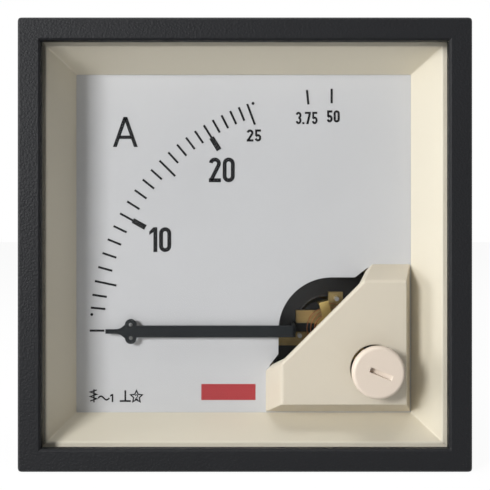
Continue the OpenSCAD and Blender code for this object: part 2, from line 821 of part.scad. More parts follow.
// The cantilever that holds the front bearing: one folded strip with a round end and a collar
module front_bridge() {
    half = bridge_w / 2;
    leg_x = cross_r + bridge_clear;
    foot_x = pillar_dist + small_head_r;
    mid = sheet_t / 2;
    color("#a39757") at_pivot() difference() {
        union() {
            translate([0, 0, -half]) linear_extrude(2 * half) strip_section([[0, bridge_y + mid],
                [leg_x, bridge_y + mid], [leg_x, cheek_y - mid], [foot_x, cheek_y - mid]], sheet_t, 1);
            bar(bridge_y, bridge_y + sheet_t, collar_r + 1);
            bar(lever_y - 0.1, bridge_y + eps, collar_r);
            bar(lever_y + lever_t + 0.1, bridge_y + eps, collar_r + 0.9);
        }
        bar(lever_y - 1, bridge_y + sheet_t + 1, jewel_r);
        translate([pillar_at[1].x, 0, pillar_at[1].y]) bar(cheek_y - 2, cheek_y + 1, small_screw_r + 0.25);
    }
}

// The front cheek: a strap across the coil with a leg, a left arm and a stop tab
module front_cheek() {
    leg_half = 3.5;
    end_r = 2.6;
    stop = stop_at(1);
    color("#8a7d4c") at_pivot() difference() {
        union() {
            slab(cheek_y, cheek_y + sheet_t) polygon([[-notch_x, strap_up], [pillar_dist, strap_up],
                [pillar_dist, -strap_down], [leg_half, -strap_down], [leg_half, -pillar_dist],
                [-leg_half, -pillar_dist], [-leg_half, -strap_down], [-pillar_dist, -strap_down],
                [-pillar_dist, -strap_down + 2 * arm_half], [-notch_x, -strap_down + 2 * arm_half]]);
            for (i = [0 : 2]) translate([pillar_at[i].x, 0, pillar_at[i].y])
                bar(cheek_y, cheek_y + sheet_t, [end_r, strap_up - 0.05, leg_half - 0.05][i]);
            slab(cheek_y, cheek_y + sheet_t) translate([stop.x - 1.7, eps]) square([3.4, stop.y + 1.5]);
        }
        bar(cheek_y - 1, cheek_y + sheet_t + 1, 2);
        for (p = pillar_at) translate([p.x, 0, p.y])
            bar(cheek_y - 1, cheek_y + sheet_t + 1, small_screw_r + 0.25);
    }
}
function stop_at(i) = let (a = i == 0 ? swing_lo - stop_gap : swing_hi + stop_gap)
    stop_r * [cos(180 - a), sin(180 - a)];

// Two pins that stop the pointer's foot a little beyond each end of the scale
module pointer_stops() {
    color("#8f9294") at_pivot() for (i = [0, 1]) translate([stop_at(i).x, 0, stop_at(i).y])
        bar(arm_y - stop_reach, cheek_y, stop_pin_r);
}

// Three pillars between the cheek and the base plate
module frame_pillars() {
    color("#a9a07a") at_pivot() for (p = pillar_at) translate([p.x, 0, p.y]) difference() {
        bar(coil_y, base_y, pillar_r);
        bar(coil_y - 1, coil_y + small_bite + 2, small_screw_r + 0.05);
    }
}

// The plate behind the coil, screwed to the case's bosses
module base_plate() {
    cut = 3;
    color("#a39757") at_pivot() slab(base_y, base_y + base_t) difference() {
        polygon([[base_lo.x + cut, base_lo.y], [base_hi.x - cut, base_lo.y], [base_hi.x, base_lo.y + cut],
            [base_hi.x, base_hi.y - cut], [base_hi.x - cut, base_hi.y], [base_lo.x + cut, base_hi.y],
            [base_lo.x, base_hi.y - cut], [base_lo.x, base_lo.y + cut]]);
        circle(jewel_r);
        for (p = boss_at) translate(p) circle(frame_screw_r + 0.15);
    }
}

// A slotted screw along Y, its head in front of y0
module slotted_screw(y0, head_r, head_h, r, len) {
    difference() {
        union() {
            bar(y0 - head_h, y0, head_r);
            bar(y0 - eps, y0 + len, r);
        }
        slab(y0 - head_h - 1, y0 - head_h * 0.5) square([3 * head_r, head_r * 0.3], center = true);
    }
}
module cheek_screws() {
    color("#b8babc") at_pivot() for (i = [0, 2]) translate([pillar_at[i].x, 0, pillar_at[i].y])
        slotted_screw(cheek_y, small_head_r, small_head_h, small_screw_r, sheet_t + small_bite);
}
module bridge_screw() {
    color("#b8babc") at_pivot() translate([pillar_at[1].x, 0, pillar_at[1].y])
        slotted_screw(cheek_y - sheet_t, small_head_r, small_head_h, small_screw_r,
            2 * sheet_t + small_bite);
}
module base_screws() {
    color("#b8babc") at_pivot() for (p = boss_at) translate([p.x, 0, p.y])
        slotted_screw(base_y, frame_head_r, frame_head_h, frame_screw_r - 0.1, base_t + frame_bite);
}

// A jewel screw: a threaded plug with a cup for the staff's point
module jewel_screw(len) {
    turned() polygon([[0, -len], [jewel_r - 0.02, -len], [jewel_r - 0.02, 0], [cup_r, 0], [0, -cup_depth]]);
}
module front_jewel_screw() {
    len = front_jewel - lever_y + 1.6;
    color("#c9a24a") at_pivot() difference() {
        translate([0, front_jewel, 0]) jewel_screw(len);
        slab(front_jewel - len - 1, front_jewel - len + 0.5) square([4, 0.4], center = true);
    }
}
module rear_jewel_screw() {
    len = base_t + 3.2;
    color("#c9a24a") at_pivot() difference() {
        translate([0, rear_jewel, 0]) mirror([0, 1, 0]) jewel_screw(len);
        slab(rear_jewel + len - 0.6, rear_jewel + len + 1) square([4, 0.4], center = true);
    }
}

// Thin hexagon nuts that lock the two jewel screws
module jewel_locknuts() {
    color("#c0a055") at_pivot() {
        slab(lever_y - nut_gap - front_nut_t, lever_y - nut_gap) difference() {
            circle(front_nut_r, $fn = 6);
            circle(jewel_r);
        }
        slab(base_y + base_t, base_y + base_t + rear_nut_t) difference() {
            circle(rear_nut_r, $fn = 6);
            circle(jewel_r);
        }
    }
}

// ---- Coil ----

// The moulded former: a tube and two flanges
module coil_former() {
    tube_r = former_bore_r + former_wall;
    color("#1c1c1d") at_pivot() turned() difference() {
        union() {
            translate([0, coil_y]) square([flange_r, flange_t]);
            translate([0, coil_y + coil_len - flange_t]) square([flange_r, flange_t]);
            translate([0, coil_y]) square([tube_r, coil_len]);
        }
        translate([-1, coil_y - 1]) square([former_bore_r + 1, coil_len + 2]);
    }
}

// The heavy copper winding and its two ends, which run to the terminal studs
module coil_winding() {
    lead_y = [turns_y + wire_d / 2, turns_y + (turn_count - 0.5) * wire_d];
    lead_x = [-layer_r0 - 1.5 * wire_d, layer_r0 + 1.5 * wire_d];
    stud_dx = [for (s = [-1, 1]) s * terminal_pitch / 2 - pivot_x];
    top_z = terminal_z - pivot_z;
    color("#b4683a") at_pivot() {
        turned() intersection() {
            union() {
                for (k = [0 : turn_count - 1], j = [0 : layer_count - 1])
                    translate([layer_r0 + (j + 0.5) * wire_d, turns_y + (k + 0.5) * wire_d])
                        circle(wire_d / 2 + 0.02, $fn = 24);
                translate([layer_r0, turns_y + wire_d / 2])
                    square([(layer_count - 0.5) * wire_d, (turn_count - 1) * wire_d]);
            }
            translate([layer_r0, turns_y - eps]) square([far, turn_count * wire_d + 2 * eps]);
        }
        for (i = [0, 1]) coil_lead(lead_x[i], lead_y[i], stud_dx[i], top_z);
    }
}

// One coil end: up beside the coil, across, and back to the stud's head
module coil_lead(x, y, stud_x, top) {
    across = [sign(stud_x - x), 0, 0];
    up = [0, 0, 1];
    back = [0, 1, 0];
    p1 = [x, y, top];
    p2 = [stud_x, y, top];
    wire_piece([x, y, 0], p1 - up * lead_bend);
    wire_bend(p1, up, across);
    wire_piece(p1 + across * lead_bend, p2 - across * lead_bend);
    wire_bend(p2, across, back);
    wire_piece(p2 + back * lead_bend, [stud_x, floor_y - stud_head_t, top]);
}
module wire_piece(a, b) {
    d = b - a;
    len = norm(d);
    translate(a) rotate([0, acos(d.z / len), atan2(d.y, d.x)]) cylinder(h = len, r = lead_r);
}
// A quarter turn of the wire at a corner, from travel direction u to direction v
module wire_bend(corner, u, v) {
    c = corner + (v - u) * lead_bend;
    w = cross(u, v);
    multmatrix([[-v.x, u.x, w.x, c.x], [-v.y, u.y, w.y, c.y], [-v.z, u.z, w.z, c.z]])
        rotate_extrude(angle = 90) translate([lead_bend, 0]) circle(lead_r);
}

// The fixed iron: a tapering tongue rolled inside the former's bore
module fixed_iron() {
    r = former_bore_r - 0.08;
    y0 = vane_y;
    color("#6f7274") at_pivot() intersection() {
        slab(y0, y0 + iron_len) intersection() {
            difference() {
                circle(r);
                circle(r - iron_t);
            }
            sector(2 * r, 40, 215);
        }
        rotate([0, -127, 0]) translate([0, 0, -r - 1]) linear_extrude(2 * r + 2)
            polygon([[-far, y0 - 1], [far, y0 - 1], [far, y0 + iron_len], [r, y0 + iron_len],
                [-r, y0 + iron_len * 0.35], [-far, y0 + iron_len * 0.35]]);
    }
}

// The cup that holds the damping fluid, seated on the base plate inside the former
module damping_cup() {
    r = 4.8;
    wall = 0.7;
    depth = 3.4;
    color("#d7d4c8") at_pivot() difference() {
        bar(base_y - depth, base_y, r);
        bar(base_y - depth - 1, base_y - 1.6, r - wall);
        bar(base_y - depth - 1, base_y + 1, 1.6);
    }
}

// ---- Terminals ----

// A hexagon along Y whose corners are turned off at both ends
module hex_bar(y0, y1, af) {
    corner_r = af / 2 / cos(30);
    ease = (corner_r - af / 2) * tan(30);
    intersection() {
        slab(y0, y1) circle(corner_r, $fn = 6);
        turned() polygon([[0, y0], [af / 2, y0], [corner_r + 0.01, y0 + ease],
            [corner_r + 0.01, y1 - ease], [af / 2, y1], [0, y1]]);
    }
}

// Studs with a hexagon head inside the case and a plain pilot at the free end
module terminal_studs() {
    pilot_y = stud_end - pilot_len;
    color("#c2a24c") for (s = [-1, 1]) translate([s * terminal_pitch / 2, 0, terminal_z]) {
        hex_bar(floor_y - stud_head_t, floor_y, nut_af);
        turned() polygon([[0, floor_y - 1], [stud_r, floor_y - 1], [stud_r, pilot_y],
            [pilot_r, pilot_y], [pilot_r, stud_end - 0.6], [pilot_r - 0.6, stud_end], [0, stud_end]]);
    }
}

// The first washer and nut hold the stud, the others take the cable
module terminal_washers() {
    color("#c9b676") for (s = [-1, 1], y = [pad_y, cable_y, cable_y + cable_gap])
        translate([s * terminal_pitch / 2, 0, terminal_z]) difference() {
            bar(y, y + washer_t, washer_r - (y > cable_y ? 0.6 : 0));
            bar(y - 1, y + washer_t + 1, stud_r + 0.15);
        }
}
module terminal_nuts() {
    color("#c2a24c") for (s = [-1, 1], y = [pad_y + washer_t, cable_y + cable_gap + washer_t])
        translate([s * terminal_pitch / 2, 0, terminal_z]) difference() {
            hex_bar(y, y + nut_t, nut_af);
            bar(y - 1, y + nut_t + 1, stud_r + 0.02);
        }
}

// ---- Clamps ----

// A folded steel bracket with two ears for the spindle and two hooks in the case's slots
module clamp_bracket(s) {
    x0 = case_w / 2 + 0.05;
    mid = bracket_t / 2;
    ear_x = spindle_x + spindle_r + 1.2;
    color("#b6b8ba") mirror([s < 0 ? 1 : 0, 0, 0]) difference() {
        union() {
            translate([0, 0, -bracket_w / 2]) linear_extrude(bracket_w) strip_section([
                [ear_x, bracket_y0 + mid], [x0 + mid, bracket_y0 + mid],
                [x0 + mid, bracket_y1 - mid], [ear_x, bracket_y1 - mid]], bracket_t, 1);
            for (z = [-1, 1])
                translate([case_w / 2 - case_wall - 0.6, hook_y + play, z * hook_z - hook_w / 2])
                cube([case_wall + 1, hook_w, hook_w]);
            translate([spindle_x, 0, 0]) bar(bracket_y1 - eps, bracket_y1 + 1.6, spindle_r + 1);
        }
        translate([spindle_x, 0, 0]) bar(bracket_y0 - 1, bracket_y1 + 3, spindle_r + 0.05);
    }
}
module clamp_bracket_left() { clamp_bracket(-1); }
module clamp_bracket_right() { clamp_bracket(1); }

// The spindle that presses on the back of the panel
module clamp_spindle(s) {
    slot = 1;
    color("#c4c6c8") translate([s * spindle_x, 0, 0]) difference() {
        turned() polygon([[0, panel_gap], [spindle_r - 0.5, panel_gap], [spindle_r, panel_gap + 0.5],
            [spindle_r, spindle_end - 0.4], [spindle_r - 0.4, spindle_end], [0, spindle_end]]);
        slab(spindle_end - 1.4, spindle_end + 1) square([3 * spindle_r, slot], center = true);
    }
}
module clamp_spindle_left() { clamp_spindle(-1); }
module clamp_spindle_right() { clamp_spindle(1); }

bezel();
front_glass();
glass_seal();
case();
mask();
dial_plate();
scale_marks();
dial_screws();
corner_cover();
zero_screw();
zero_screw_clip();
zero_lever();
pointer();
staff();
spring_hub();
balance_cross();
balance_weights();
moving_iron();
damping_disc();
hairspring();
front_bridge();
front_cheek();
pointer_stops();
frame_pillars();
base_plate();
cheek_screws();
bridge_screw();
base_screws();
front_jewel_screw();
rear_jewel_screw();
jewel_locknuts();
coil_former();
coil_winding();
fixed_iron();
damping_cup();
terminal_studs();
terminal_washers();
terminal_nuts();
clamp_bracket_left();
clamp_bracket_right();
clamp_spindle_left();
clamp_spindle_right();
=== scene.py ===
import json
import logging
import math
from dataclasses import dataclass, field
from enum import Enum

import bmesh
import bpy
from mathutils import Matrix, Vector

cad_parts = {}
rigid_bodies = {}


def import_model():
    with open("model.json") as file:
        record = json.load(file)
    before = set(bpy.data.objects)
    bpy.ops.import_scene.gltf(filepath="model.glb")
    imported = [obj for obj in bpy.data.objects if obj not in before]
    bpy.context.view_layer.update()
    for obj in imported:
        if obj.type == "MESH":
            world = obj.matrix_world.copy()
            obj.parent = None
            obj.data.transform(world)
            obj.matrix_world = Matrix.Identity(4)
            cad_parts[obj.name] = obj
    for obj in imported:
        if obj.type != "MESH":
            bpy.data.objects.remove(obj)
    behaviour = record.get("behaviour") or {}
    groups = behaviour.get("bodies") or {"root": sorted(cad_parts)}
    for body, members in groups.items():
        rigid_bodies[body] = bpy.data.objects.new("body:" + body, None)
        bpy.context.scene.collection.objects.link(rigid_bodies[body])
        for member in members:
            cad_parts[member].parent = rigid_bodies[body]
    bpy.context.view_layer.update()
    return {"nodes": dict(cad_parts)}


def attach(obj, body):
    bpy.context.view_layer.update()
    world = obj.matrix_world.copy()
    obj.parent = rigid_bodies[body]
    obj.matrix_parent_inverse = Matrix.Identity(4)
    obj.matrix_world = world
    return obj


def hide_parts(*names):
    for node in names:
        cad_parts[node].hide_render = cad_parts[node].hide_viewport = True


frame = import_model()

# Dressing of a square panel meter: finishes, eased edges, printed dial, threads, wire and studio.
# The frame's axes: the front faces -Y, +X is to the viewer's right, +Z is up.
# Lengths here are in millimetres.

LOG = logging.getLogger("panel_meter")
MM = 0.001
SENSOR = 36.0  # width of the camera's sensor
DIAL_FACE = 6.0  # depth of the dial's face
INK_THICK = 0.06
WELD = 0.002  # corners of a CAD node closer than this are one corner
FLAT = math.radians(0.6)  # faces that turn by less than this are one face
MITRE = 0.35  # least cosine at which a printed line's corner is still pointed

Point = tuple[float, float]
Colour = tuple[float, float, float, float]


def srgb(red: int, green: int, blue: int) -> Colour:
    """Turns a display colour into a linear one.

    Args:
        red: Red, 0 to 255.
        green: Green, 0 to 255.
        blue: Blue, 0 to 255.

    Returns:
        The linear colour with full alpha.
    """
    def linear(value: float) -> float:
        """One channel, from display to linear."""
        value /= 255
        return value / 12.92 if value <= 0.04045 else ((value + 0.055) / 1.055) ** 2.4

    return (linear(red), linear(green), linear(blue), 1.0)


def scaled(colour: Colour, factor: float) -> Colour:
    """A colour made lighter or darker by a factor."""
    return (colour[0] * factor, colour[1] * factor, colour[2] * factor, 1.0)


# ---------------------------------------------------------------- node trees


class Num:
    """A number socket in a node tree; arithmetic on it adds Math nodes."""

    def __init__(self, tree: bpy.types.NodeTree, socket: bpy.types.NodeSocket) -> None:
        """Wraps an output socket of a tree."""
        self.tree = tree
        self.socket = socket

    def op(self, operation: str, *values: object) -> "Num":
        """Adds a Math node on this tree.

        Args:
            operation: The Math node's operation.
            values: What its sockets get, numbers or other Nums.

        Returns:
            The node's result.
        """
        node = self.tree.nodes.new("ShaderNodeMath")
        node.operation = operation
        for index, value in enumerate(values):
            plug(self.tree, node.inputs[index], value)
        return Num(self.tree, node.outputs[0])

    def __add__(self, other: object) -> "Num":
        """Sum."""
        return self.op("ADD", self, other)

    __radd__ = __add__

    def __sub__(self, other: object) -> "Num":
        """Difference."""
        return self.op("SUBTRACT", self, other)

    def __mul__(self, other: object) -> "Num":
        """Product."""
        return self.op("MULTIPLY", self, other)

    def __truediv__(self, other: object) -> "Num":
        """Quotient."""
        return self.op("DIVIDE", self, other)

    def fraction(self) -> "Num":
        """The part after the point."""
        return self.op("FRACT", self)

    def size(self) -> "Num":
        """The absolute value."""
        return self.op("ABSOLUTE", self)

    def least(self, other: object) -> "Num":
        """The smaller of two values."""
        return self.op("MINIMUM", self, other)

    def most(self, other: object) -> "Num":
        """The larger of two values."""
        return self.op("MAXIMUM", self, other)

    def ramp(self, low: float, high: float) -> "Num":
        """A smooth step from 0 to 1.

        Args:
            low: Where the step starts.
            high: Where it ends.

        Returns:
            The stepped value.
        """
        node = self.tree.nodes.new("ShaderNodeMapRange")
        node.interpolation_type = "SMOOTHSTEP"
        plug(self.tree, node.inputs[0], self)
        plug(self.tree, node.inputs[1], low)
        plug(self.tree, node.inputs[2], high)
        return Num(self.tree, node.outputs[0])


def plug(tree: bpy.types.NodeTree, socket: bpy.types.NodeSocket, value: object) -> None:
    """Sets a socket's value, or links it.

    Args:
        tree: The tree that the socket is in.
        socket: The input socket.
        value: A number, a colour, a Num or an output socket.
    """
    if isinstance(value, Num):
        value = value.socket
    if isinstance(value, bpy.types.NodeSocket):
        tree.links.new(value, socket)
    else:
        socket.default_value = value


class Nodes:
    """A node tree with one way to add any node."""

    def __init__(self, tree: bpy.types.NodeTree) -> None:
        """Wraps a tree."""
        self.tree = tree

    def add(self, kind: str, settings: dict[str, object] | None = None,
            sockets: dict[str | int, object] | None = None) -> bpy.types.Node:
        """Adds a node: its settings first, then its sockets.

        Args:
            kind: The node's type name.
            settings: The node's own properties.
            sockets: Values or links of its input sockets, by name or index.

        Returns:
            The new node.
        """
        node = self.tree.nodes.new(kind)
        for name, value in (settings or {}).items():
            setattr(node, name, value)
        for key, value in (sockets or {}).items():
            plug(self.tree, node.inputs[key], value)
        return node

    def num(self, node: bpy.types.Node, output: str | int = 0) -> Num:
        """One output of a node as a Num."""
        return Num(self.tree, node.outputs[output])

    def seen(self) -> Num:
        """Picks out what the camera sees, straight, mirrored or through glass.

        Returns:
            1 on those rays and 0 on all others.
        """
        path = self.add("ShaderNodeLightPath")
        direct = self.num(path, "Is Camera Ray").most(self.num(path, "Is Glossy Ray"))
        return direct.most(self.num(path, "Is Transmission Ray"))


class Shade(Nodes):
    """A material's tree with its Principled shader, and the patterns that the finishes share."""

    def __init__(self, name: str) -> None:
        """Makes an empty material with a Principled shader.

        Args:
            name: The material's name.
        """
        self.material = bpy.data.materials.new(name)
        self.material.use_nodes = True
        super().__init__(self.material.node_tree)
        self.tree.nodes.clear()
        self.output = self.add("ShaderNodeOutputMaterial")
        self.shader = self.add("ShaderNodeBsdfPrincipled")
        self.tree.links.new(self.shader.outputs[0], self.output.inputs[0])
        self.place = self.add("ShaderNodeTexCoord").outputs["Object"]

    def set(self, **values: object) -> None:
        """Sets the shader's sockets; an underscore in a name stands for a space."""
        for name, value in values.items():
            plug(self.tree, self.shader.inputs[name.replace("_", " ")], value)

    def noise(self, grain: float, detail: float = 2.0,
              stretch: tuple[float, float, float] = (1, 1, 1), rough: float = 0.5) -> Num:
        """A noise pattern in the piece's own place.

        Args:
            grain: The size of its grains.
            detail: Its octaves.
            stretch: How much longer the grains are along each axis.
            rough: How strong the finer octaves are.

        Returns:
            The noise, about 0.5 on average.
        """
        at = self.place
        if stretch != (1, 1, 1):
            mapping = self.add("ShaderNodeMapping", None, {
                "Vector": at, "Scale": tuple(1 / s for s in stretch)})
            at = mapping.outputs[0]
        node = self.add("ShaderNodeTexNoise", None, {
            "Vector": at, "Scale": 1 / (grain * MM), "Detail": detail, "Roughness": rough})
        return self.num(node, "Fac")

    def cells(self, grain: float) -> Num:
        """Distance to the nearest of scattered points, for leather-like moulding grain."""
        node = self.add("ShaderNodeTexVoronoi", {"feature": "F1"}, {
            "Vector": self.place, "Scale": 1 / (grain * MM)})
        return self.num(node, "Distance")

    def show(self, factor: Num, first: bpy.types.NodeSocket, second: bpy.types.NodeSocket) -> None:
        """Ends the material in a mix of two shaders, the first at factor 0, the second at 1."""
        mix = self.add("ShaderNodeMixShader", None, {0: factor, 1: first, 2: second})
        plug(self.tree, self.output.inputs[0], mix.outputs[0])

    def blend(self, factor: object, first: object, second: object) -> bpy.types.NodeSocket:
        """Mixes two colours.

        Args:
            factor: 0 gives the first colour, 1 the second.
            first: A colour or a colour socket.
            second: A colour or a colour socket.

        Returns:
            The mixed colour's socket.
        """
        node = self.add("ShaderNodeMix", {"data_type": "RGBA"})
        for index, value in ((0, factor), (6, first), (7, second)):
            plug(self.tree, node.inputs[index], value)
        return node.outputs[2]

    def bump(self, height: Num, depth: float) -> None:
        """Feeds the shader's normal from a height; a height of 1 stands for the depth."""
        node = self.add("ShaderNodeBump", None, {
            "Strength": 1.0, "Distance": depth * MM, "Height": height})
        self.set(Normal=node.outputs[0])


# ---------------------------------------------------------------- finishes


@dataclass(frozen=True)
class MouldedPlastic:
    """Injection-moulded plastic with a moulding grain and faint colour drift."""

    name: str
    colour: Colour
    roughness: float = 0.45
    grain: float = 0.4
    depth: float = 0.03
    drift: float = 0.08
    gloss: float = 0.5
    patch: float = 22.0
    pit: float = 1.6

    def material(self) -> bpy.types.Material:
        """Builds the material; a pit is as many grains wide as its field says.

        Returns:
            The new material.
        """
        shade = Shade(self.name)
        patches = shade.noise(self.patch, 3)
        fine = shade.noise(self.grain, 3, rough=0.6)
        pits = shade.cells(self.grain * self.pit)
        tone = (patches - 0.5) * self.drift * 2 + (fine - 0.5) * self.drift + 0.5
        shade.set(
            Base_Color=shade.blend(tone, scaled(self.colour, 1 - self.drift),
                                   scaled(self.colour, 1 + self.drift)),
            Roughness=self.roughness + (fine - 0.5) * 0.16 + (patches - 0.5) * 0.06,
            Specular_IOR_Level=self.gloss,
        )
        shade.bump(fine * 0.6 + pits * 0.5, self.depth)
        return shade.material


@dataclass(frozen=True)
class PaintedSheet:
    """Thin painted metal with a fine spray texture."""

    name: str
    colour: Colour
    roughness: float = 0.5
    spray: float = 0.16
    depth: float = 0.006
    gloss: float = 0.4
    patch: float = 14.0

    def material(self) -> bpy.types.Material:
        """Builds the material.

        Returns:
            The new material.
        """
        shade = Shade(self.name)
        mist = shade.noise(self.spray, 2)
        patches = shade.noise(self.patch, 3)
        tone = (mist - 0.5) * 0.6 + (patches - 0.5) * 0.8 + 0.5
        shade.set(
            Base_Color=shade.blend(tone, scaled(self.colour, 0.965), scaled(self.colour, 1.03)),
            Roughness=self.roughness + (mist - 0.5) * 0.12,
            Specular_IOR_Level=self.gloss,
        )
        shade.bump(mist, self.depth)
        return shade.material


@dataclass(frozen=True)
class PrintInk:
    """Screen-printed ink, a little uneven in cover."""

    name: str
    colour: Colour
    roughness: float = 0.55
    grain: float = 0.12
    depth: float = 0.004

    def material(self) -> bpy.types.Material:
        """Builds the material.

        Returns:
            The new material.
        """
        shade = Shade(self.name)
        cover = shade.noise(self.grain, 3, rough=0.65)
        shade.set(
            Base_Color=shade.blend(cover.ramp(0.3, 0.75), scaled(self.colour, 0.9),
                                   scaled(self.colour, 1.22)),
            Roughness=self.roughness + (cover - 0.5) * 0.2,
            Specular_IOR_Level=0.2,
        )
        shade.bump(cover, self.depth)
        return shade.material


class Lay(Enum):
    """The direction in which a metal's fine marks run."""

    NONE = (1, 1, 1)
    ACROSS = (14, 1, 1)
    DEEP = (1, 14, 1)
    UPRIGHT = (1, 1, 14)


@dataclass(frozen=True)
class BareMetal:
    """Bare or plated metal with machining marks and tarnish."""

    name: str
    colour: Colour
    roughness: float = 0.3
    lay: Lay = Lay.NONE
    marks: float = 0.08
    tarnish: float = 0.35
    stain: Colour = srgb(96, 84, 66)
    patch: float = 4.5
    depth: float = 0.006

    def material(self) -> bpy.types.Material:
        """Builds the material.

        Returns:
            The new material.
        """
        shade = Shade(self.name)
        scratches = shade.noise(self.marks, 3, self.lay.value, 0.6)
        patches = shade.noise(self.patch, 4, rough=0.6).ramp(0.42, 0.8)
        bright = shade.blend(scratches, scaled(self.colour, 0.9), scaled(self.colour, 1.08))
        shade.set(
            Base_Color=shade.blend(patches * self.tarnish, bright, self.stain),
            Metallic=1.0,
            Roughness=self.roughness + (scratches - 0.5) * 0.2 + patches * self.tarnish * 0.3,
        )
        shade.bump(scratches, self.depth)
        return shade.material


@dataclass(frozen=True)
class EnamelledWire:
    """Copper under clear enamel."""

    name: str
    colour: Colour
    patch: float = 3.0
    ripple: float = 0.5
    depth: float = 0.01

    def material(self) -> bpy.types.Material:
        """Builds the material.

        Returns:
            The new material.
        """
        shade = Shade(self.name)
        patches = shade.noise(self.patch, 3)
        shade.set(
            Base_Color=shade.blend(patches, scaled(self.colour, 0.75), scaled(self.colour, 1.15)),
            Metallic=1.0,
            Roughness=0.3 + (patches - 0.5) * 0.1,
            Coat_Weight=0.6,
            Coat_Roughness=0.15,
        )
        shade.bump(shade.noise(self.ripple, 2), self.depth)
        return shade.material


@dataclass(frozen=True)
class GlassPane:
    """A clear flat pane: what lies behind it shows, and its faces mirror a little."""

    name: str
    tint: Colour
    mirror: float = 0.1
    smear: float = 9.0
    ior: float = 1.45

    def material(self) -> bpy.types.Material:
        """Builds the material.

        Returns:
            The new material.
        """
        shade = Shade(self.name)
        smear = shade.noise(self.smear, 3)
        shade.set(
            Base_Color=(0.9, 0.92, 0.92, 1.0),
            Roughness=0.03 + smear * 0.03,
            Metallic=1.0,
        )
        clear = shade.add("ShaderNodeBsdfTransparent", None, {"Color": self.tint})
        fresnel = shade.num(shade.add("ShaderNodeFresnel", None, {"IOR": self.ior}))
        shade.show(fresnel * self.mirror, clear.outputs[0], shade.shader.outputs[0])
        return shade.material


@dataclass(frozen=True)
class Backdrop:
    """The pale floor: it keeps the object's shadow and shows nearly white."""

    name: str
    colour: Colour
    lift: float = 0.88
    glow: float = 1.07
    grain: float = 30.0

    def material(self) -> bpy.types.Material:
        """Builds the material.

        Returns:
            The new material.
        """
        shade = Shade(self.name)
        paper = shade.noise(self.grain, 2)
        shade.set(
            Base_Color=shade.blend(paper, scaled(self.colour, 0.99), self.colour),
            Roughness=0.9,
            Specular_IOR_Level=0.1,
        )
        glow = shade.add("ShaderNodeEmission", None, {"Color": (1, 1, 1, 1), "Strength": self.glow})
        shade.show(shade.seen() * self.lift, shade.shader.outputs[0], glow.outputs[0])
        return shade.material


class Finish(Enum):
    """The finishes of the meter's pieces."""

    BEZEL = MouldedPlastic("bezel_black", srgb(17, 18, 21), 0.5, 0.32, 0.12, 0.14, 0.2)
    CASE = MouldedPlastic("case_black", srgb(28, 29, 31), 0.52, 0.5, 0.02, 0.1, 0.3)
    MASK = MouldedPlastic("mask_cream", srgb(220, 213, 195), 0.5, 0.7, 0.008, 0.02, 0.4)
    COVER = MouldedPlastic("cover_cream", srgb(215, 206, 188), 0.42, 0.8, 0.008, 0.02, 0.35)
    KNOB = MouldedPlastic("adjuster_cream", srgb(216, 202, 187), 0.4, 0.6, 0.006, 0.02, 0.4)
    FORMER = MouldedPlastic("former_black", srgb(26, 26, 27), 0.4, 0.6, 0.01, 0.1)
    CUP = MouldedPlastic("cup_pale", srgb(214, 210, 198), 0.3, 0.6, 0.004, 0.03)
    SEAL = MouldedPlastic("seal_black", srgb(22, 22, 22), 0.8, 0.3, 0.03, 0.1, 0.2)
    GLASS = GlassPane("front_glass", (0.985, 0.985, 0.985, 1.0))
    DIAL = PaintedSheet("dial_white", srgb(202, 203, 205), 0.55, 0.2, 0.003, 0.35)
    POINTER = PaintedSheet("pointer_black", srgb(20, 24, 27), 0.55, 0.12, 0.006, 0.2)
    INK = PrintInk("scale_ink", srgb(15, 15, 18))
    RED = PrintInk("field_red", srgb(170, 62, 66), 0.5)
    STEEL = BareMetal("steel", srgb(176, 178, 180), 0.28, Lay.DEEP)
    SCREW = BareMetal("screw_nickel", srgb(172, 170, 163), 0.3, Lay.ACROSS)
    PASSIVATED = BareMetal("frame_olive", srgb(172, 152, 104), 0.46, Lay.ACROSS, 0.1, 0.5)
    BRASS = BareMetal("brass", srgb(192, 157, 84), 0.3, Lay.ACROSS, 0.09, 0.35)
    BRONZE = BareMetal("spring_bronze", srgb(196, 128, 82), 0.3, Lay.NONE, 0.1, 0.25)
    IRON = BareMetal("soft_iron", srgb(128, 128, 128), 0.42, Lay.DEEP)
    COPPER = EnamelledWire("coil_copper", srgb(190, 104, 62))
    ZINC = BareMetal("bright_zinc", srgb(158, 160, 164), 0.4, Lay.UPRIGHT, 0.12, 0.2,
                     srgb(124, 124, 118))

    def material(self) -> bpy.types.Material:
        """The finish's material, built once."""
        made = bpy.data.materials.get(self.value.name)
        return made or self.value.material()


# ---------------------------------------------------------------- mesh tools


def linked(name: str, data: bpy.types.ID) -> bpy.types.Object:
    """Puts a new object in the scene.

    Args:
        name: The object's name.
        data: Its mesh, lamp or camera.

    Returns:
        The new object.
    """
    made = bpy.data.objects.new(name, data)
    bpy.context.scene.collection.objects.link(made)
    return made


def meshed(name: str, shape: bmesh.types.BMesh) -> bpy.types.Mesh:
    """Turns a closed shape in millimetres into a mesh in the frame's metres.

    Args:
        name: The mesh's name.
        shape: The shape; it is freed.

    Returns:
        The mesh, with its faces outward.
    """
    bmesh.ops.scale(shape, vec=(MM, MM, MM), verts=shape.verts)
    bmesh.ops.recalc_face_normals(shape, faces=shape.faces)
    mesh = bpy.data.meshes.new(name)
    shape.to_mesh(mesh)
    shape.free()
    return mesh


def place_mesh(name: str, mesh: bpy.types.Mesh, finish: Finish) -> bpy.types.Object:
    """Makes an object at the origin from a mesh.

    Args:
        name: The object's name.
        mesh: The mesh, in the frame's metres.
        finish: What it is finished in.

    Returns:
        The new object.
    """
    mesh.materials.clear()
    mesh.materials.append(finish.material())
    return linked(name, mesh)


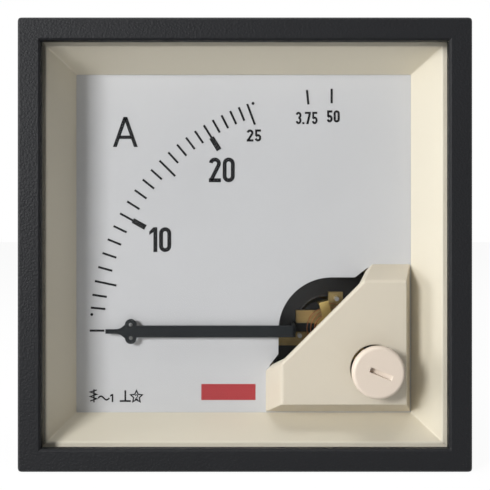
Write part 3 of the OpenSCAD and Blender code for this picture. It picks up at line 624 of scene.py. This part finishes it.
def evaluated(made: bpy.types.Object) -> bpy.types.Mesh:
    """Turns an object's evaluated shape into a plain mesh.

    Args:
        made: An object with live modifiers.

    Returns:
        The plain mesh. The object is removed.
    """
    graph = bpy.context.evaluated_depsgraph_get()
    mesh = bpy.data.meshes.new_from_object(
        made.evaluated_get(graph), preserve_all_data_layers=True, depsgraph=graph)
    bpy.data.objects.remove(made)
    return mesh


def smooth(mesh: bpy.types.Mesh, limit: float = 40.0) -> None:
    """Shades a mesh smooth up to a crease angle.

    Args:
        mesh: The mesh.
        limit: Edges that turn by more degrees than this stay sharp.
    """
    work = bmesh.new()
    work.from_mesh(mesh)
    for edge in work.edges:
        edge.smooth = len(edge.link_faces) == 2 and edge.calc_face_angle() < math.radians(limit)
    for face in work.faces:
        face.smooth = True
    work.to_mesh(mesh)
    work.free()


def eased(node: str, name: str, finish: Finish, width: float, segments: int = 2,
          limit: float = 32.0, rim_y: float | None = None, soft: float = 1.0) -> bpy.types.Object:
    """A CAD node again, with its sharp edges eased as a mould or a tumbler leaves them.

    A bevel that isn't clamped can throw spikes from the short edges inside a piece, so with rim_y
    only the edges around the front face are eased.

    Args:
        node: The CAD node that the piece stands for.
        name: The piece's name.
        finish: What it is finished in.
        width: The width of the eased edge.
        segments: The faces across the eased edge.
        limit: Edges that turn by more degrees than this are eased.
        rim_y: The depth of a front face; if it is given, only edges that reach this face are eased.
        soft: How many times as wide the long edges around that face are.

    Returns:
        The new piece, a plain mesh.
    """
    work = bmesh.new()
    work.from_mesh(frame["nodes"][node].data)
    bmesh.ops.remove_doubles(work, verts=work.verts, dist=WELD * MM)
    bmesh.ops.dissolve_degenerate(work, dist=WELD / 2 * MM, edges=work.edges)
    bmesh.ops.dissolve_limit(work, angle_limit=FLAT, verts=work.verts, edges=work.edges)
    share = work.edges.layers.float.new("bevel_weight_edge")
    play, long = 0.05, 1.0
    rim = math.inf if rim_y is None else (rim_y + play) * MM
    for edge in work.edges:
        if len(edge.link_faces) == 2 and edge.calc_face_angle() > math.radians(limit):
            ends = sum(vert.co.y < rim for vert in edge.verts)
            whole = ends == 2 and (rim_y is None or edge.calc_length() > long * MM)
            edge[share] = 1.0 if whole else (1 / soft if ends else 0.0)
    mesh = bpy.data.meshes.new(name)
    work.to_mesh(mesh)
    work.free()
    made = linked(name, mesh)
    bevel = made.modifiers.new("ease", "BEVEL")
    bevel.width = width * soft * MM
    bevel.segments = segments
    bevel.limit_method = "WEIGHT"
    bevel.use_clamp_overlap = rim_y is None
    plain = evaluated(made)
    smooth(plain, 50)
    made = linked(name, plain)
    weighted = made.modifiers.new("flats", "WEIGHTED_NORMAL")
    weighted.keep_sharp = True
    return place_mesh(name, evaluated(made), finish)


def merged(name: str, meshes: list[bpy.types.Mesh], finish: Finish) -> bpy.types.Object:
    """One object from several meshes, shaded smooth.

    Args:
        name: The object's name.
        meshes: Meshes in the frame's metres; they are removed.
        finish: What it is finished in.

    Returns:
        The new object.
    """
    whole = bmesh.new()
    for mesh in meshes:
        whole.from_mesh(mesh)
        bpy.data.meshes.remove(mesh)
    made = bpy.data.meshes.new(name)
    whole.to_mesh(made)
    whole.free()
    smooth(made)
    return place_mesh(name, made, finish)


def joined(name: str, shapes: list[bmesh.types.BMesh], finish: Finish) -> bpy.types.Object:
    """One object from several closed shapes in millimetres; they are freed."""
    return merged(name, [meshed("part", shape) for shape in shapes], finish)


def prism(outline: list[Point], start: float, end: float) -> bmesh.types.BMesh:
    """A flat outline drawn out along Y.

    Args:
        outline: Its corners as (x, z).
        start: Its front plane.
        end: Its rear plane.

    Returns:
        The closed shape.
    """
    shape = bmesh.new()
    face = shape.faces.new([shape.verts.new((x, start, z)) for x, z in outline])
    back = bmesh.ops.extrude_face_region(shape, geom=[face])
    moved = [item for item in back["geom"] if isinstance(item, bmesh.types.BMVert)]
    bmesh.ops.translate(shape, vec=(0, end - start, 0), verts=moved)
    bmesh.ops.recalc_face_normals(shape, faces=shape.faces)
    return shape


def rounded_path(points: list[Vector], radius: float, steps: int = 8) -> list[Vector]:
    """A path with its corners rounded.

    Args:
        points: The path's corners.
        radius: The radius of each bend.
        steps: The points along each bend.

    Returns:
        The denser path.
    """
    path = [points[0]]
    for before, corner, after in zip(points, points[1:], points[2:]):
        come, leave = (before - corner).normalized(), (after - corner).normalized()
        half = come.angle(leave) / 2
        centre = corner + (come + leave).normalized() * radius / math.sin(half)
        start = corner + come * radius / math.tan(half) - centre
        end = corner + leave * radius / math.tan(half) - centre
        path += [centre + start.slerp(end, step / steps) for step in range(steps + 1)]
    return path + [points[-1]]


def polyline(name: str, points: list[Vector]) -> bpy.types.Object:
    """An object whose edges run along a path, for a tree to grow on.

    Args:
        name: The object's name.
        points: The path, in millimetres.

    Returns:
        The object.
    """
    made = empty_shape(name)
    made.data.from_pydata([tuple(point * MM) for point in points],
                          [(index, index + 1) for index in range(len(points) - 1)], [])
    return made


def empty_shape(name: str) -> bpy.types.Object:
    """An empty mesh object for a tree to grow on."""
    return linked(name, bpy.data.meshes.new(name))


def turned(axis: Point, profile: list[Point], sides: int = 48) -> bpy.types.Mesh:
    """A turned piece with its axis along Y.

    Args:
        axis: Its axis as (x, z).
        profile: Its outline as (y, radius), front to rear.
        sides: The faces around it.

    Returns:
        The mesh, in metres.
    """
    shape = bmesh.new()
    turns = [math.tau * side / sides for side in range(sides)]
    rings = [[shape.verts.new((axis[0] + r * math.cos(turn), y, axis[1] + r * math.sin(turn)))
              for turn in turns] for y, r in profile]
    for low, high in zip(rings, rings[1:]):
        for side in range(sides):
            after = (side + 1) % sides
            shape.faces.new((low[side], low[after], high[after], high[side]))
    shape.faces.new(rings[0])
    shape.faces.new(rings[-1])
    return meshed("turned", shape)


def hexagon(axis: Point, flats: float, start: float, end: float,
            ease: float = 0.2) -> bpy.types.Mesh:
    """A hexagon head along Y with eased edges.

    Args:
        axis: Its axis as (x, z).
        flats: The width across its flats.
        start: Its front plane.
        end: Its rear plane.
        ease: The width of its eased edges.

    Returns:
        The mesh, in metres.
    """
    reach = flats / 2 / math.cos(math.pi / 6)
    turns = [math.tau * corner / 6 for corner in range(6)]
    shape = prism([(axis[0] + reach * math.cos(turn), axis[1] + reach * math.sin(turn))
                   for turn in turns], start, end)
    bmesh.ops.bevel(
        shape, geom=shape.edges[:], offset=ease, segments=2, affect="EDGES", profile=0.5)
    return meshed("hexagon", shape)


def slotted(mesh: bpy.types.Mesh, at: Vector, size: Vector) -> bpy.types.Mesh:
    """Cuts a screwdriver slot into a mesh.

    Args:
        mesh: The mesh, in metres; it is used up.
        at: The slot's centre, in millimetres.
        size: The slot's size along X, Y and Z.

    Returns:
        The cut mesh.
    """
    block = bmesh.new()
    bmesh.ops.create_cube(block, size=1.0)
    bmesh.ops.scale(block, vec=size, verts=block.verts)
    bmesh.ops.translate(block, vec=at, verts=block.verts)
    cutter = linked("slot", meshed("slot", block))
    made = linked("cut", mesh)
    cut = made.modifiers.new("slot", "BOOLEAN")
    cut.operation = "DIFFERENCE"
    cut.object = cutter
    cut.solver = "EXACT"
    result = evaluated(made)
    bpy.data.objects.remove(cutter)
    return result


# ---------------------------------------------------------------- printed marks


def printed(outline: list[Point]) -> bmesh.types.BMesh:
    """A patch of ink on the dial."""
    return prism(outline, DIAL_FACE - INK_THICK, DIAL_FACE)


def ribbon(points: list[Point], width: float, closed: bool = False) -> list[bmesh.types.BMesh]:
    """A printed line of even width along a path, as one raised shape per stretch.

    Args:
        points: The path as (x, z).
        width: The line's width.
        closed: Whether the path closes on itself.

    Returns:
        The closed shapes.
    """
    count = len(points)
    sides: list[tuple[Vector, Vector]] = []
    for index, point in enumerate(points):
        here = Vector(point)
        before = Vector(points[index - 1]) if index or closed else None
        after = Vector(points[(index + 1) % count]) if index < count - 1 or closed else None
        first = (here - before).normalized() if before else (after - here).normalized()
        second = (after - here).normalized() if after else first
        along = (first + second).normalized()
        reach = width / 2 / max(along.dot(first), MITRE)
        across = Vector((-along.y, along.x)) * reach
        sides.append((here + across, here - across))
    steps = count if closed else count - 1
    shapes = []
    for index in range(steps):
        a, b = sides[index], sides[(index + 1) % count]
        shapes.append(printed([tuple(a[0]), tuple(b[0]), tuple(b[1]), tuple(a[1])]))
    return shapes


@dataclass(frozen=True)
class Letter:
    """The box of one printed letter, which knows how each letter is drawn."""

    left: float
    right: float
    low: float
    high: float
    stroke: float

    STEPS = 10  # stretches in a round stroke
    FLAG = 0.17  # how far the flag of the 1 drops, as a share of the height
    BELLY = 0.62  # top of the round part of the 5
    WAIST = 0.53  # where the bowls of the 3 meet
    STEM = 0.47  # foot of the stem of the 5
    BAR = 0.27  # height of the bar of the A

    def block(self, left: float, right: float, low: float, high: float) -> list[Point]:
        """An upright rectangle."""
        return [(left, low), (right, low), (right, high), (left, high)]

    def bowl(self, middle: float, rise: float, first: float, last: float) -> list[Point]:
        """A round stroke as wide as the letter.

        Args:
            middle: The height of its centre.
            rise: Its half height, at the middle of the stroke.
            first: The angle it starts at.
            last: The angle it ends at.

        Returns:
            The points along the middle of the stroke.
        """
        centre, reach = (self.left + self.right) / 2, (self.right - self.left - self.stroke) / 2
        turns = [math.radians(first + (last - first) * step / self.STEPS)
                 for step in range(self.STEPS + 1)]
        return [(centre + reach * math.cos(turn), middle + rise * math.sin(turn)) for turn in turns]

    def drawn(self, letter: str) -> tuple[list[list[Point]], list[list[Point]]]:
        """The letter's straight-edged patches, and the paths of its round strokes.

        Args:
            letter: The letter.

        Returns:
            The patches and the paths; a path that ends where it starts is closed.
        """
        left, right, low, high, stroke = self.left, self.right, self.low, self.high, self.stroke
        wide, tall, half, middle = right - left, high - low, stroke / 2, (left + right) / 2
        reach = (wide - stroke) / 2
        match letter:
            case "0":
                loop = self.bowl(high - half - reach, reach, 0, 180)
                loop += self.bowl(low + half + reach, reach, 180, 360)
                return [], [loop + loop[:1]]
            case "1":
                drop = high - self.FLAG * tall
                flag = [(right - stroke, high - 1.25 * stroke), (right - stroke, high),
                        (left, drop), (left, drop - 0.9 * stroke)]
                return [self.block(right - stroke, right, low, high), flag], []
            case "2":
                hook = self.bowl(high - half - reach, reach, 172, -30)
                return [self.block(left, right, low, low + stroke)], [
                    hook + [(left + 0.62 * stroke, low + 0.55 * stroke)]]
            case "3":
                waist = low + self.WAIST * tall
                upper, lower = (high - half - waist) / 2, (waist - low - half) / 2
                return [], [self.bowl(waist + upper, upper, 165, -90),
                            self.bowl(waist - lower, lower, 90, -165)]
            case "5":
                edge, rise = left + 0.1 * wide, (self.BELLY * tall - stroke) / 2
                return [self.block(edge, right - 0.05 * wide, high - stroke, high),
                        self.block(edge, edge + 0.9 * stroke, low + self.STEM * tall, high)], [
                    self.bowl(low + half + rise, rise, 148, -165)]
            case "7":
                foot = left + 0.22 * wide
                return [self.block(left, right, high - stroke, high),
                        [(foot, low), (foot + 1.1 * stroke, low), (right, high - stroke),
                         (right - 1.1 * stroke, high - stroke)]], []
            case "A":
                bar, inset = low + self.BAR * tall, 0.15 * wide
                tip = [(middle + half, high), (middle - half, high)]
                return [[(left, low), (left + stroke, low)] + tip,
                        [(right - stroke, low), (right, low)] + tip,
                        self.block(left + inset + half, right - inset - half, bar,
                                   bar + 0.85 * stroke)], []
        return [self.block(left, left + stroke, low, low + stroke)], []


@dataclass(frozen=True)
class Line:
    """A printed line along straight stretches."""

    points: tuple[Point, ...]
    width: float


@dataclass(frozen=True)
class Word:
    """A printed word in narrow upright letters, fitted into a box on the dial."""

    text: str
    left: float
    right: float
    low: float
    high: float
    stroke: float
    gap: float = 0.15

    NARROW = {"1": 0.66, ".": 0.28}  # widths of the letters that aren't 1 wide

    def shapes(self) -> list[bmesh.types.BMesh]:
        """Draws the word's letters side by side.

        Returns:
            Their closed shapes, in millimetres.
        """
        widths = [self.NARROW.get(letter, 1.0) for letter in self.text]
        unit = (self.right - self.left) / (sum(widths) + self.gap * (len(widths) - 1))
        shapes: list[bmesh.types.BMesh] = []
        at = self.left
        for letter, width in zip(self.text, widths):
            box = Letter(at, at + width * unit, self.low, self.high, self.stroke)
            patches, paths = box.drawn(letter)
            shapes += [printed(patch) for patch in patches]
            for path in paths:
                closed = path[0] == path[-1]
                shapes += ribbon(path[:-1] if closed else path, self.stroke, closed)
            at += (width + self.gap) * unit
        return shapes


# ---------------------------------------------------------------- geometry nodes


class GrowTree(Nodes):
    """A geometry tree with named inputs that grows one kind of piece."""

    KINDS = {float: "NodeSocketFloat", int: "NodeSocketInt",
             bpy.types.Material: "NodeSocketMaterial"}

    def __init__(self, name: str, inputs: dict[str, type]) -> None:
        """Makes the tree with its inputs and its output.

        Args:
            name: The tree's name.
            inputs: The names and types of its inputs.
        """
        super().__init__(bpy.data.node_groups.new(name, "GeometryNodeTree"))
        face = self.tree.interface
        face.new_socket("Geometry", in_out="INPUT", socket_type="NodeSocketGeometry")
        self.ids = {
            title: face.new_socket(title, in_out="INPUT", socket_type=self.KINDS[kind]).identifier
            for title, kind in inputs.items()}
        face.new_socket("Geometry", in_out="OUTPUT", socket_type="NodeSocketGeometry")
        self.given = self.add("NodeGroupInput")
        self.result = self.add("NodeGroupOutput")

    def input(self, title: str) -> Num:
        """One named input as a Num."""
        return self.num(self.given, title)

    def close(self, shape: object) -> None:
        """Ends the tree in Realize Instances and Set Material.

        Args:
            shape: The socket that the finished geometry comes from.
        """
        real = self.add("GeometryNodeRealizeInstances", None, {0: shape})
        dressed = self.add("GeometryNodeSetMaterial", None, {
            "Geometry": real.outputs[0], "Material": self.given.outputs["Finish"]})
        plug(self.tree, self.result.inputs[0], dressed.outputs[0])

    def grow(self, base: bpy.types.Object, **values: object) -> bpy.types.Mesh:
        """Runs the tree on an object and bakes the result.

        Args:
            base: The object that the tree starts from; it is used up.
            values: The inputs' values; an underscore in a name stands for a space.

        Returns:
            The plain mesh.
        """
        modifier = base.modifiers.new("grow", "NODES")
        modifier.node_group = self.tree
        for title, value in values.items():
            modifier[self.ids[title.replace("_", " ")]] = value
        return evaluated(base)


class ThreadTree(GrowTree):
    """Grows a threaded rod along Z, centred, with eased ends."""

    RINGS = 6  # rings of points for each turn of the thread
    SIDES = 32

    def __init__(self) -> None:
        """Builds the tree."""
        super().__init__("threaded_rod", {
            "Radius": float, "Length": float, "Pitch": float, "Depth": float, "Ease": float,
            "Rings": int, "Finish": bpy.types.Material})
        radius, length = self.input("Radius"), self.input("Length")
        rod = self.add("GeometryNodeMeshCylinder", {"fill_type": "NGON"}, {
            "Vertices": self.SIDES, "Side Segments": self.input("Rings"), "Radius": radius,
            "Depth": length})
        place = self.add("ShaderNodeSeparateXYZ", None, {
            0: self.add("GeometryNodeInputPosition").outputs[0]})
        x, y, z = (self.num(place, axis) for axis in range(3))
        turn = x.op("ARCTAN2", y, x) / (2 * math.pi)
        ridge = ((z / self.input("Pitch") - turn).fraction() - 0.5).size() * 2
        cut = radius - self.input("Depth") * ridge
        end = radius - (self.input("Ease") - (length / 2 - z.size())).most(0)
        scale = cut.least(end) / radius
        moved = self.add("ShaderNodeCombineXYZ", None, {0: x * scale, 1: y * scale, 2: z})
        shaped = self.add("GeometryNodeSetPosition", None, {
            "Geometry": rod.outputs["Mesh"], "Position": moved.outputs[0]})
        self.close(shaped.outputs[0])

    def rod(self, axis: Point, span: Point, radius: float, lead: float, ease: float,
            finish: Finish) -> bpy.types.Mesh:
        """A threaded rod along Y; its thread is half as deep as its lead.

        Args:
            axis: Its axis as (x, z).
            span: The planes of its two ends.
            radius: Its outer radius.
            lead: The distance from turn to turn.
            ease: The bevel of its ends.
            finish: What it is finished in.

        Returns:
            The mesh, in metres.
        """
        start, end = span
        mesh = self.grow(
            empty_shape("rod"), Radius=radius * MM, Length=(end - start) * MM, Pitch=lead * MM,
            Depth=lead / 2 * MM, Ease=ease * MM, Rings=int((end - start) / lead * self.RINGS),
            Finish=finish.material())
        place = Matrix.Translation(Vector((axis[0], (start + end) / 2, axis[1])) * MM)
        mesh.transform(place @ Matrix.Rotation(math.radians(-90), 4, "X"))
        return mesh


class WireTree(GrowTree):
    """Grows round wire along the object's own edges."""

    def __init__(self) -> None:
        """Builds the tree."""
        super().__init__("wire_along_path", {
            "Radius": float, "Sides": int, "Finish": bpy.types.Material})
        ring = self.add("GeometryNodeCurvePrimitiveCircle", {"mode": "RADIUS"}, {
            "Resolution": self.input("Sides"), "Radius": self.input("Radius")})
        path = self.add("GeometryNodeMeshToCurve", None, {"Mesh": self.given.outputs["Geometry"]})
        wire = self.add("GeometryNodeCurveToMesh", None, {
            "Curve": path.outputs[0], "Profile Curve": ring.outputs[0], "Fill Caps": True})
        self.close(wire.outputs[0])


# ---------------------------------------------------------------- sub-assemblies


@dataclass
class Assembly:
    """A group of pieces of the meter, and what its carried-over CAD nodes are finished in."""

    body: str = "housing"
    pieces: list[str] = field(default_factory=list)

    def carry(self, finish: Finish, *nodes: str) -> None:
        """Gives CAD nodes a finish.

        Args:
            finish: The finish.
            nodes: The names of the nodes.
        """
        for name in nodes:
            node = frame["nodes"][name]
            node.data.materials.clear()
            node.data.materials.append(finish.material())
            self.pieces.append(name)

    def settle(self, piece: bpy.types.Object, slot: str, *nodes: str,
               body: str | None = None) -> None:
        """Puts a piece on its body and hides the CAD nodes that it stands for.

        Args:
            piece: The finished piece.
            slot: Not used.
            nodes: The CAD nodes that it stands for.
            body: The body that it rides on, if not the assembly's own.
        """
        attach(piece, body or self.body)
        if nodes:
            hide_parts(*nodes)
        self.pieces.append(piece.name)

    def report(self) -> None:
        """Logs the pieces of the assembly."""
        for name in self.pieces:
            mesh = bpy.data.objects[name].data
            LOG.info("%s: %s, %d faces", type(self).__name__, name, len(mesh.polygons))


@dataclass
class Housing(Assembly):
    """Bezel, glass, case and the pale mask."""

    def build(self) -> None:
        """Makes and dresses the housing."""
        self.settle(eased("bezel", "bezel_frame", Finish.BEZEL, 0.22, 3), "bezel", "bezel")
        self.settle(eased("mask", "inner_mask", Finish.MASK, 0.3, 3, 24), "mask", "mask")
        self.settle(eased("case", "case_shell", Finish.CASE, 0.25, 2), "case", "case")
        self.carry(Finish.GLASS, "front_glass")
        self.carry(Finish.SEAL, "glass_seal")
        self.report()


@dataclass
class Dial(Assembly):
    """The printed plate with its scale, numbers and symbols."""

    words: tuple[Word, ...] = (
        Word("A", -29.74, -24.08, 21.96, 28.78, 0.88),
        Word("20", -7.93, -2.04, 13.95, 19.55, 0.88),
        Word("10", -21.46, -16.48, -1.92, 3.70, 0.88),
        Word("25", 0.67, 4.01, 23.19, 25.94, 0.5),
        Word("3.75", 11.79, 16.81, 27.14, 29.94, 0.46),
        Word("50", 18.84, 21.84, 27.53, 30.28, 0.5),
        Word("1", -30.4, -29.66, -36.04, -34.22, 0.34),
        Word("2", -24.74, -24.0, -35.5, -34.3, 0.2),
    )
    red_field: tuple[Point, ...] = (
        (-9.64, -35.58), (2.69, -35.58), (2.69, -31.94), (-9.64, -31.94))
    marks: tuple[Line, ...] = (
        Line(((-33.4, -33.3), (-34.9, -33.75), (-33.4, -34.3), (-34.9, -34.8), (-33.4, -35.3),
              (-34.9, -35.8)), 0.26),
        Line(((-34.04, -33.15), (-34.04, -36.1)), 0.3),
        Line(((-26.92, -33.38), (-26.92, -35.81)), 0.38),
        Line(((-28.17, -35.81), (-25.69, -35.81)), 0.38),
    )
    wave_start: Point = (-33.08, -35.13)
    wave_size: Point = (2.54, 0.42)
    wave_line: float = 0.34
    star_centre: Point = (-24.38, -34.84)
    star_reach: Point = (1.4, 0.68)
    star_line: float = 0.26

    def build(self) -> None:
        """Makes and dresses the dial."""
        self.carry(Finish.DIAL, "dial_plate")
        self.carry(Finish.INK, "scale_marks")
        self.carry(Finish.SCREW, "dial_screws")
        shapes = [shape for word in self.words for shape in word.shapes()]
        self.settle(joined("scale_numbers", shapes, Finish.INK), "ink")
        self.settle(joined("dial_symbols", self.symbols(), Finish.INK), "ink")
        self.settle(joined("red_field", [printed(list(self.red_field))], Finish.RED), "ink")
        self.report()

    def symbols(self) -> list[bmesh.types.BMesh]:
        """Draws the marks at the foot: moving iron, alternating current, upright use, test voltage.

        Returns:
            Their closed shapes, in millimetres.
        """
        shapes = [shape for mark in self.marks for shape in ribbon(list(mark.points), mark.width)]
        (x, z), (length, height), steps = self.wave_start, self.wave_size, 12
        wave = [(x + length * step / steps, z + height * math.sin(math.tau * step / steps))
                for step in range(steps + 1)]
        x, z = self.star_centre
        star = []
        for step in range(10):
            reach, turn = self.star_reach[step % 2], math.tau * (0.25 + step / 10)
            star.append((x + reach * math.cos(turn), z + reach * math.sin(turn)))
        return shapes + ribbon(wave, self.wave_line) + ribbon(star, self.star_line, True)


@dataclass
class CornerCover(Assembly):
    """The bevelled cover over the movement, softer around its top face than at its foot."""

    top_y: float = -2.0

    def build(self) -> None:
        """Makes and dresses the cover."""
        cover = eased("corner_cover", "movement_cover", Finish.COVER, 0.26, 5, 20, self.top_y, 2.6)
        self.settle(cover, "cover", "corner_cover")
        self.report()


@dataclass
class ZeroAdjuster(Assembly):
    """The slotted adjuster, its clip, and the forked lever."""

    body: str = "zero_adjuster"

    def build(self) -> None:
        """Makes and dresses the adjuster."""
        head = eased("zero_screw", "zero_adjuster_head", Finish.KNOB, 0.12, 2)
        self.settle(head, "adjuster", "zero_screw")
        self.carry(Finish.SCREW, "zero_screw_clip")
        self.carry(Finish.BRASS, "zero_lever")
        self.carry(Finish.BRONZE, "hairspring")
        self.report()


@dataclass
class Movement(Assembly):
    """The pivoted moving system and the frame that carries it."""

    body: str = "moving_system"

    def build(self) -> None:
        """Makes and dresses the movement."""
        blade = eased("pointer", "pointer_blade", Finish.POINTER, 0.06, 2)
        self.settle(blade, "pointer", "pointer")
        self.carry(Finish.STEEL, "staff", "balance_cross", "damping_disc", "pointer_stops")
        self.carry(Finish.BRASS, "spring_hub", "front_jewel_screw", "rear_jewel_screw",
                   "jewel_locknuts")
        self.carry(Finish.IRON, "moving_iron", "fixed_iron")
        self.carry(Finish.SCREW, "balance_weights", "cheek_screws", "bridge_screw", "base_screws")
        self.carry(Finish.PASSIVATED, "base_plate", "frame_pillars")
        for node, name in (("front_cheek", "front_cheek_plate"),
                           ("front_bridge", "front_bridge_strip")):
            plate = eased(node, name, Finish.PASSIVATED, 0.12, 2)
            self.settle(plate, "passivated", node, body="housing")
        self.carry(Finish.FORMER, "coil_former")
        self.carry(Finish.CUP, "damping_cup")
        self.report()


@dataclass
class Coil(Assembly):
    """The heavy winding: two layers of round wire and its two ends, which run to the studs."""

    pivot: Point = (20.0, -19.8)
    inner: float = 9.65
    outer: float = 11.85
    radius: float = 1.02
    first_y: float = 17.6
    last_y: float = 37.4
    turns: float = 9.5
    steps: int = 36
    sides: int = 12
    stud: tuple[float, float, float] = (18.0, 47.8, 16.0)
    bend: float = 3.0

    def build(self, wires: WireTree) -> None:
        """Makes and dresses the winding.

        Args:
            wires: The tree that grows wire along a path.
        """
        side, back, top = self.stud
        outer = self.layer(self.outer)
        first, last = outer[0], outer[-1]
        come = rounded_path([Vector((-side, back, top)), Vector((-side, first.y, top)),
                             Vector((first.x, first.y, top)), first], self.bend)
        leave = rounded_path([last, Vector((last.x, last.y, top)), Vector((side, last.y, top)),
                              Vector((side, back, top))], self.bend)
        parts = [wires.grow(polyline("wire", path), Radius=self.radius * MM, Sides=self.sides,
                            Finish=Finish.COPPER.material())
                 for path in (come + outer[1:] + leave[1:], self.layer(self.inner))]
        self.settle(merged("coil_wire", parts, Finish.COPPER), "copper", "coil_winding")
        self.report()

    def layer(self, reach: float) -> list[Vector]:
        """The points of one layer of turns.

        Args:
            reach: The layer's radius at the middle of the wire.

        Returns:
            The points, front to rear.
        """
        count = int(self.turns * self.steps)
        points = []
        for step in range(count + 1):
            turn = math.pi + math.tau * self.turns * step / count
            points.append(Vector((self.pivot[0] + reach * math.cos(turn),
                                  self.first_y + (self.last_y - self.first_y) * step / count,
                                  self.pivot[1] + reach * math.sin(turn))))
        return points


@dataclass
class Terminals(Assembly):
    """Threaded studs with their washers and nuts."""

    pitch: float = 36.0
    height: float = 16.0
    radius: float = 3.0
    head_y: float = 47.8
    floor_y: float = 50.8
    thread_y: float = 67.0
    end_y: float = 73.0
    pilot: float = 2.75
    ease: float = 0.6
    thread_ease: float = 0.7
    sink: float = 0.5
    overlap: float = 1.0
    lead: float = 1.0
    flats: float = 10.0

    def build(self, threads: ThreadTree) -> None:
        """Makes and dresses the terminals.

        Args:
            threads: The tree that grows threaded rods.
        """
        rods = []
        for side in (-1, 1):
            axis = (side * self.pitch / 2, self.height)
            rods.append(threads.rod(axis, (self.floor_y - self.sink, self.thread_y), self.radius,
                                    self.lead, self.thread_ease, Finish.BRASS))
            rods.append(hexagon(axis, self.flats, self.head_y, self.floor_y))
            rods.append(turned(axis, [
                (self.thread_y - self.overlap, self.pilot), (self.end_y - self.ease, self.pilot),
                (self.end_y, self.pilot - self.ease)]))
        self.settle(merged("terminal_stud_pair", rods, Finish.BRASS), "brass", "terminal_studs")
        self.settle(eased("terminal_nuts", "terminal_nut_set", Finish.BRASS, 0.25, 2), "brass",
                    "terminal_nuts")
        self.settle(eased("terminal_washers", "terminal_washer_set", Finish.SCREW, 0.1, 2), "zinc",
                    "terminal_washers")
        self.report()


@dataclass
class Clamps(Assembly):
    """The two side clamps: folded bracket and threaded spindle."""

    radius: float = 2.0
    lead: float = 0.7
    tip_y: float = 5.0
    end_y: float = 59.0
    ease: float = 0.5
    slot: float = 1.0
    slot_deep: float = 1.4
    axis_x: float = 48.6

    def build(self, threads: ThreadTree) -> None:
        """Makes and dresses the clamps.

        Args:
            threads: The tree that grows threaded rods.
        """
        for side, name in ((-1, "left"), (1, "right")):
            bracket = eased(f"clamp_bracket_{name}", f"clamp_frame_{name}", Finish.ZINC, 0.12, 1)
            self.settle(bracket, "zinc", f"clamp_bracket_{name}")
            rod = threads.rod((side * self.axis_x, 0), (self.tip_y, self.end_y), self.radius,
                              self.lead, self.ease, Finish.ZINC)
            spindle = slotted(rod, Vector((side * self.axis_x, self.end_y, 0)),
                              Vector((self.radius * 3, self.slot_deep * 2, self.slot)))
            self.settle(merged(f"clamp_screw_{name}", [spindle], Finish.ZINC), "zinc",
                        f"clamp_spindle_{name}", body=f"clamp_{name}")
        self.report()


# ---------------------------------------------------------------- studio


@dataclass(frozen=True)
class SoftLamp:
    """A square soft lamp that points at the meter."""

    name: str
    left: float
    up: float
    away: float
    size: float
    level: float

    def hang(self) -> None:
        """Hangs the lamp; its level is the light that it throws on a surface that faces it."""
        data = bpy.data.lights.new(self.name, "AREA")
        data.shape = "SQUARE"
        data.size = self.size * MM
        data.energy = self.level * (math.pi * self.away * MM) ** 2
        side, rise = math.radians(self.left), math.radians(self.up)
        flat = math.cos(rise)
        place = Vector((-math.sin(side) * flat, -math.cos(side) * flat, math.sin(rise)))
        lamp = linked(self.name, data)
        lamp.location = place * self.away * MM
        lamp.rotation_euler = (-place).to_track_quat("-Z", "Y").to_euler()


@dataclass
class Studio:
    """The camera, the lights, the pale floor and the world."""

    eye: tuple[float, float, float] = (-3.7, -184.0, 3.4)
    lens: float = 61.38
    shift: Point = (0.0359, -0.0335)
    lamps: tuple[SoftLamp, ...] = (
        SoftLamp("key", 38.0, 14.0, 700.0, 185.0, 0.84),
        SoftLamp("side", 80.0, 6.0, 700.0, 300.0, 0.55),
        SoftLamp("top", 15.0, 82.0, 900.0, 500.0, 0.47),
    )
    world_level: float = 0.09
    floor_z: float = -48.0
    floor_size: float = 6000.0

    def build(self) -> None:
        """Sets up the studio."""
        self.set_camera()
        for lamp in self.lamps:
            lamp.hang()
        self.set_world()
        self.set_floor()
        bpy.context.scene.view_settings.view_transform = "Standard"

    def set_camera(self) -> None:
        """Places the camera straight in front, a little left and above the middle."""
        data = bpy.data.cameras.new("camera")
        data.lens = self.lens
        data.sensor_width = SENSOR
        data.shift_x, data.shift_y = self.shift
        data.clip_start = 0.01
        data.clip_end = 50.0
        camera = linked("camera", data)
        camera.location = Vector(self.eye) * MM
        camera.rotation_euler = (math.radians(90), 0, 0)
        bpy.context.scene.camera = camera

    def set_world(self) -> None:
        """Makes the world: soft light, white to the camera."""
        world = bpy.data.worlds.new("studio")
        world.use_nodes = True
        bpy.context.scene.world = world
        nodes = Nodes(world.node_tree)
        nodes.tree.nodes.clear()
        strength = self.world_level + nodes.seen() * (1 - self.world_level)
        light = nodes.add("ShaderNodeBackground", None, {
            "Color": (1, 1, 1, 1), "Strength": strength})
        nodes.add("ShaderNodeOutputWorld", None, {"Surface": light.outputs[0]})

    def set_floor(self) -> None:
        """Lays the pale floor under the bezel's bottom edge."""
        half = self.floor_size / 2 * MM
        mesh = bpy.data.meshes.new("floor")
        mesh.from_pydata([(x * half, y * half, self.floor_z * MM)
                          for x, y in ((-1, -1), (1, -1), (1, 1), (-1, 1))], [], [(0, 1, 2, 3)])
        mesh.materials.append(Backdrop("floor_white", (0.64, 0.64, 0.64, 1.0)).material())
        linked("floor", mesh)


def main() -> None:
    """Builds the meter's assemblies in order."""
    logging.basicConfig(level=logging.INFO, format="%(name)s: %(message)s")
    threads, wires = ThreadTree(), WireTree()
    Studio().build()
    Housing().build()
    Dial().build()
    CornerCover().build()
    ZeroAdjuster().build()
    Movement().build()
    Coil().build(wires)
    Terminals().build(threads)
    Clamps().build(threads)


if __name__ == "__main__":
    main()
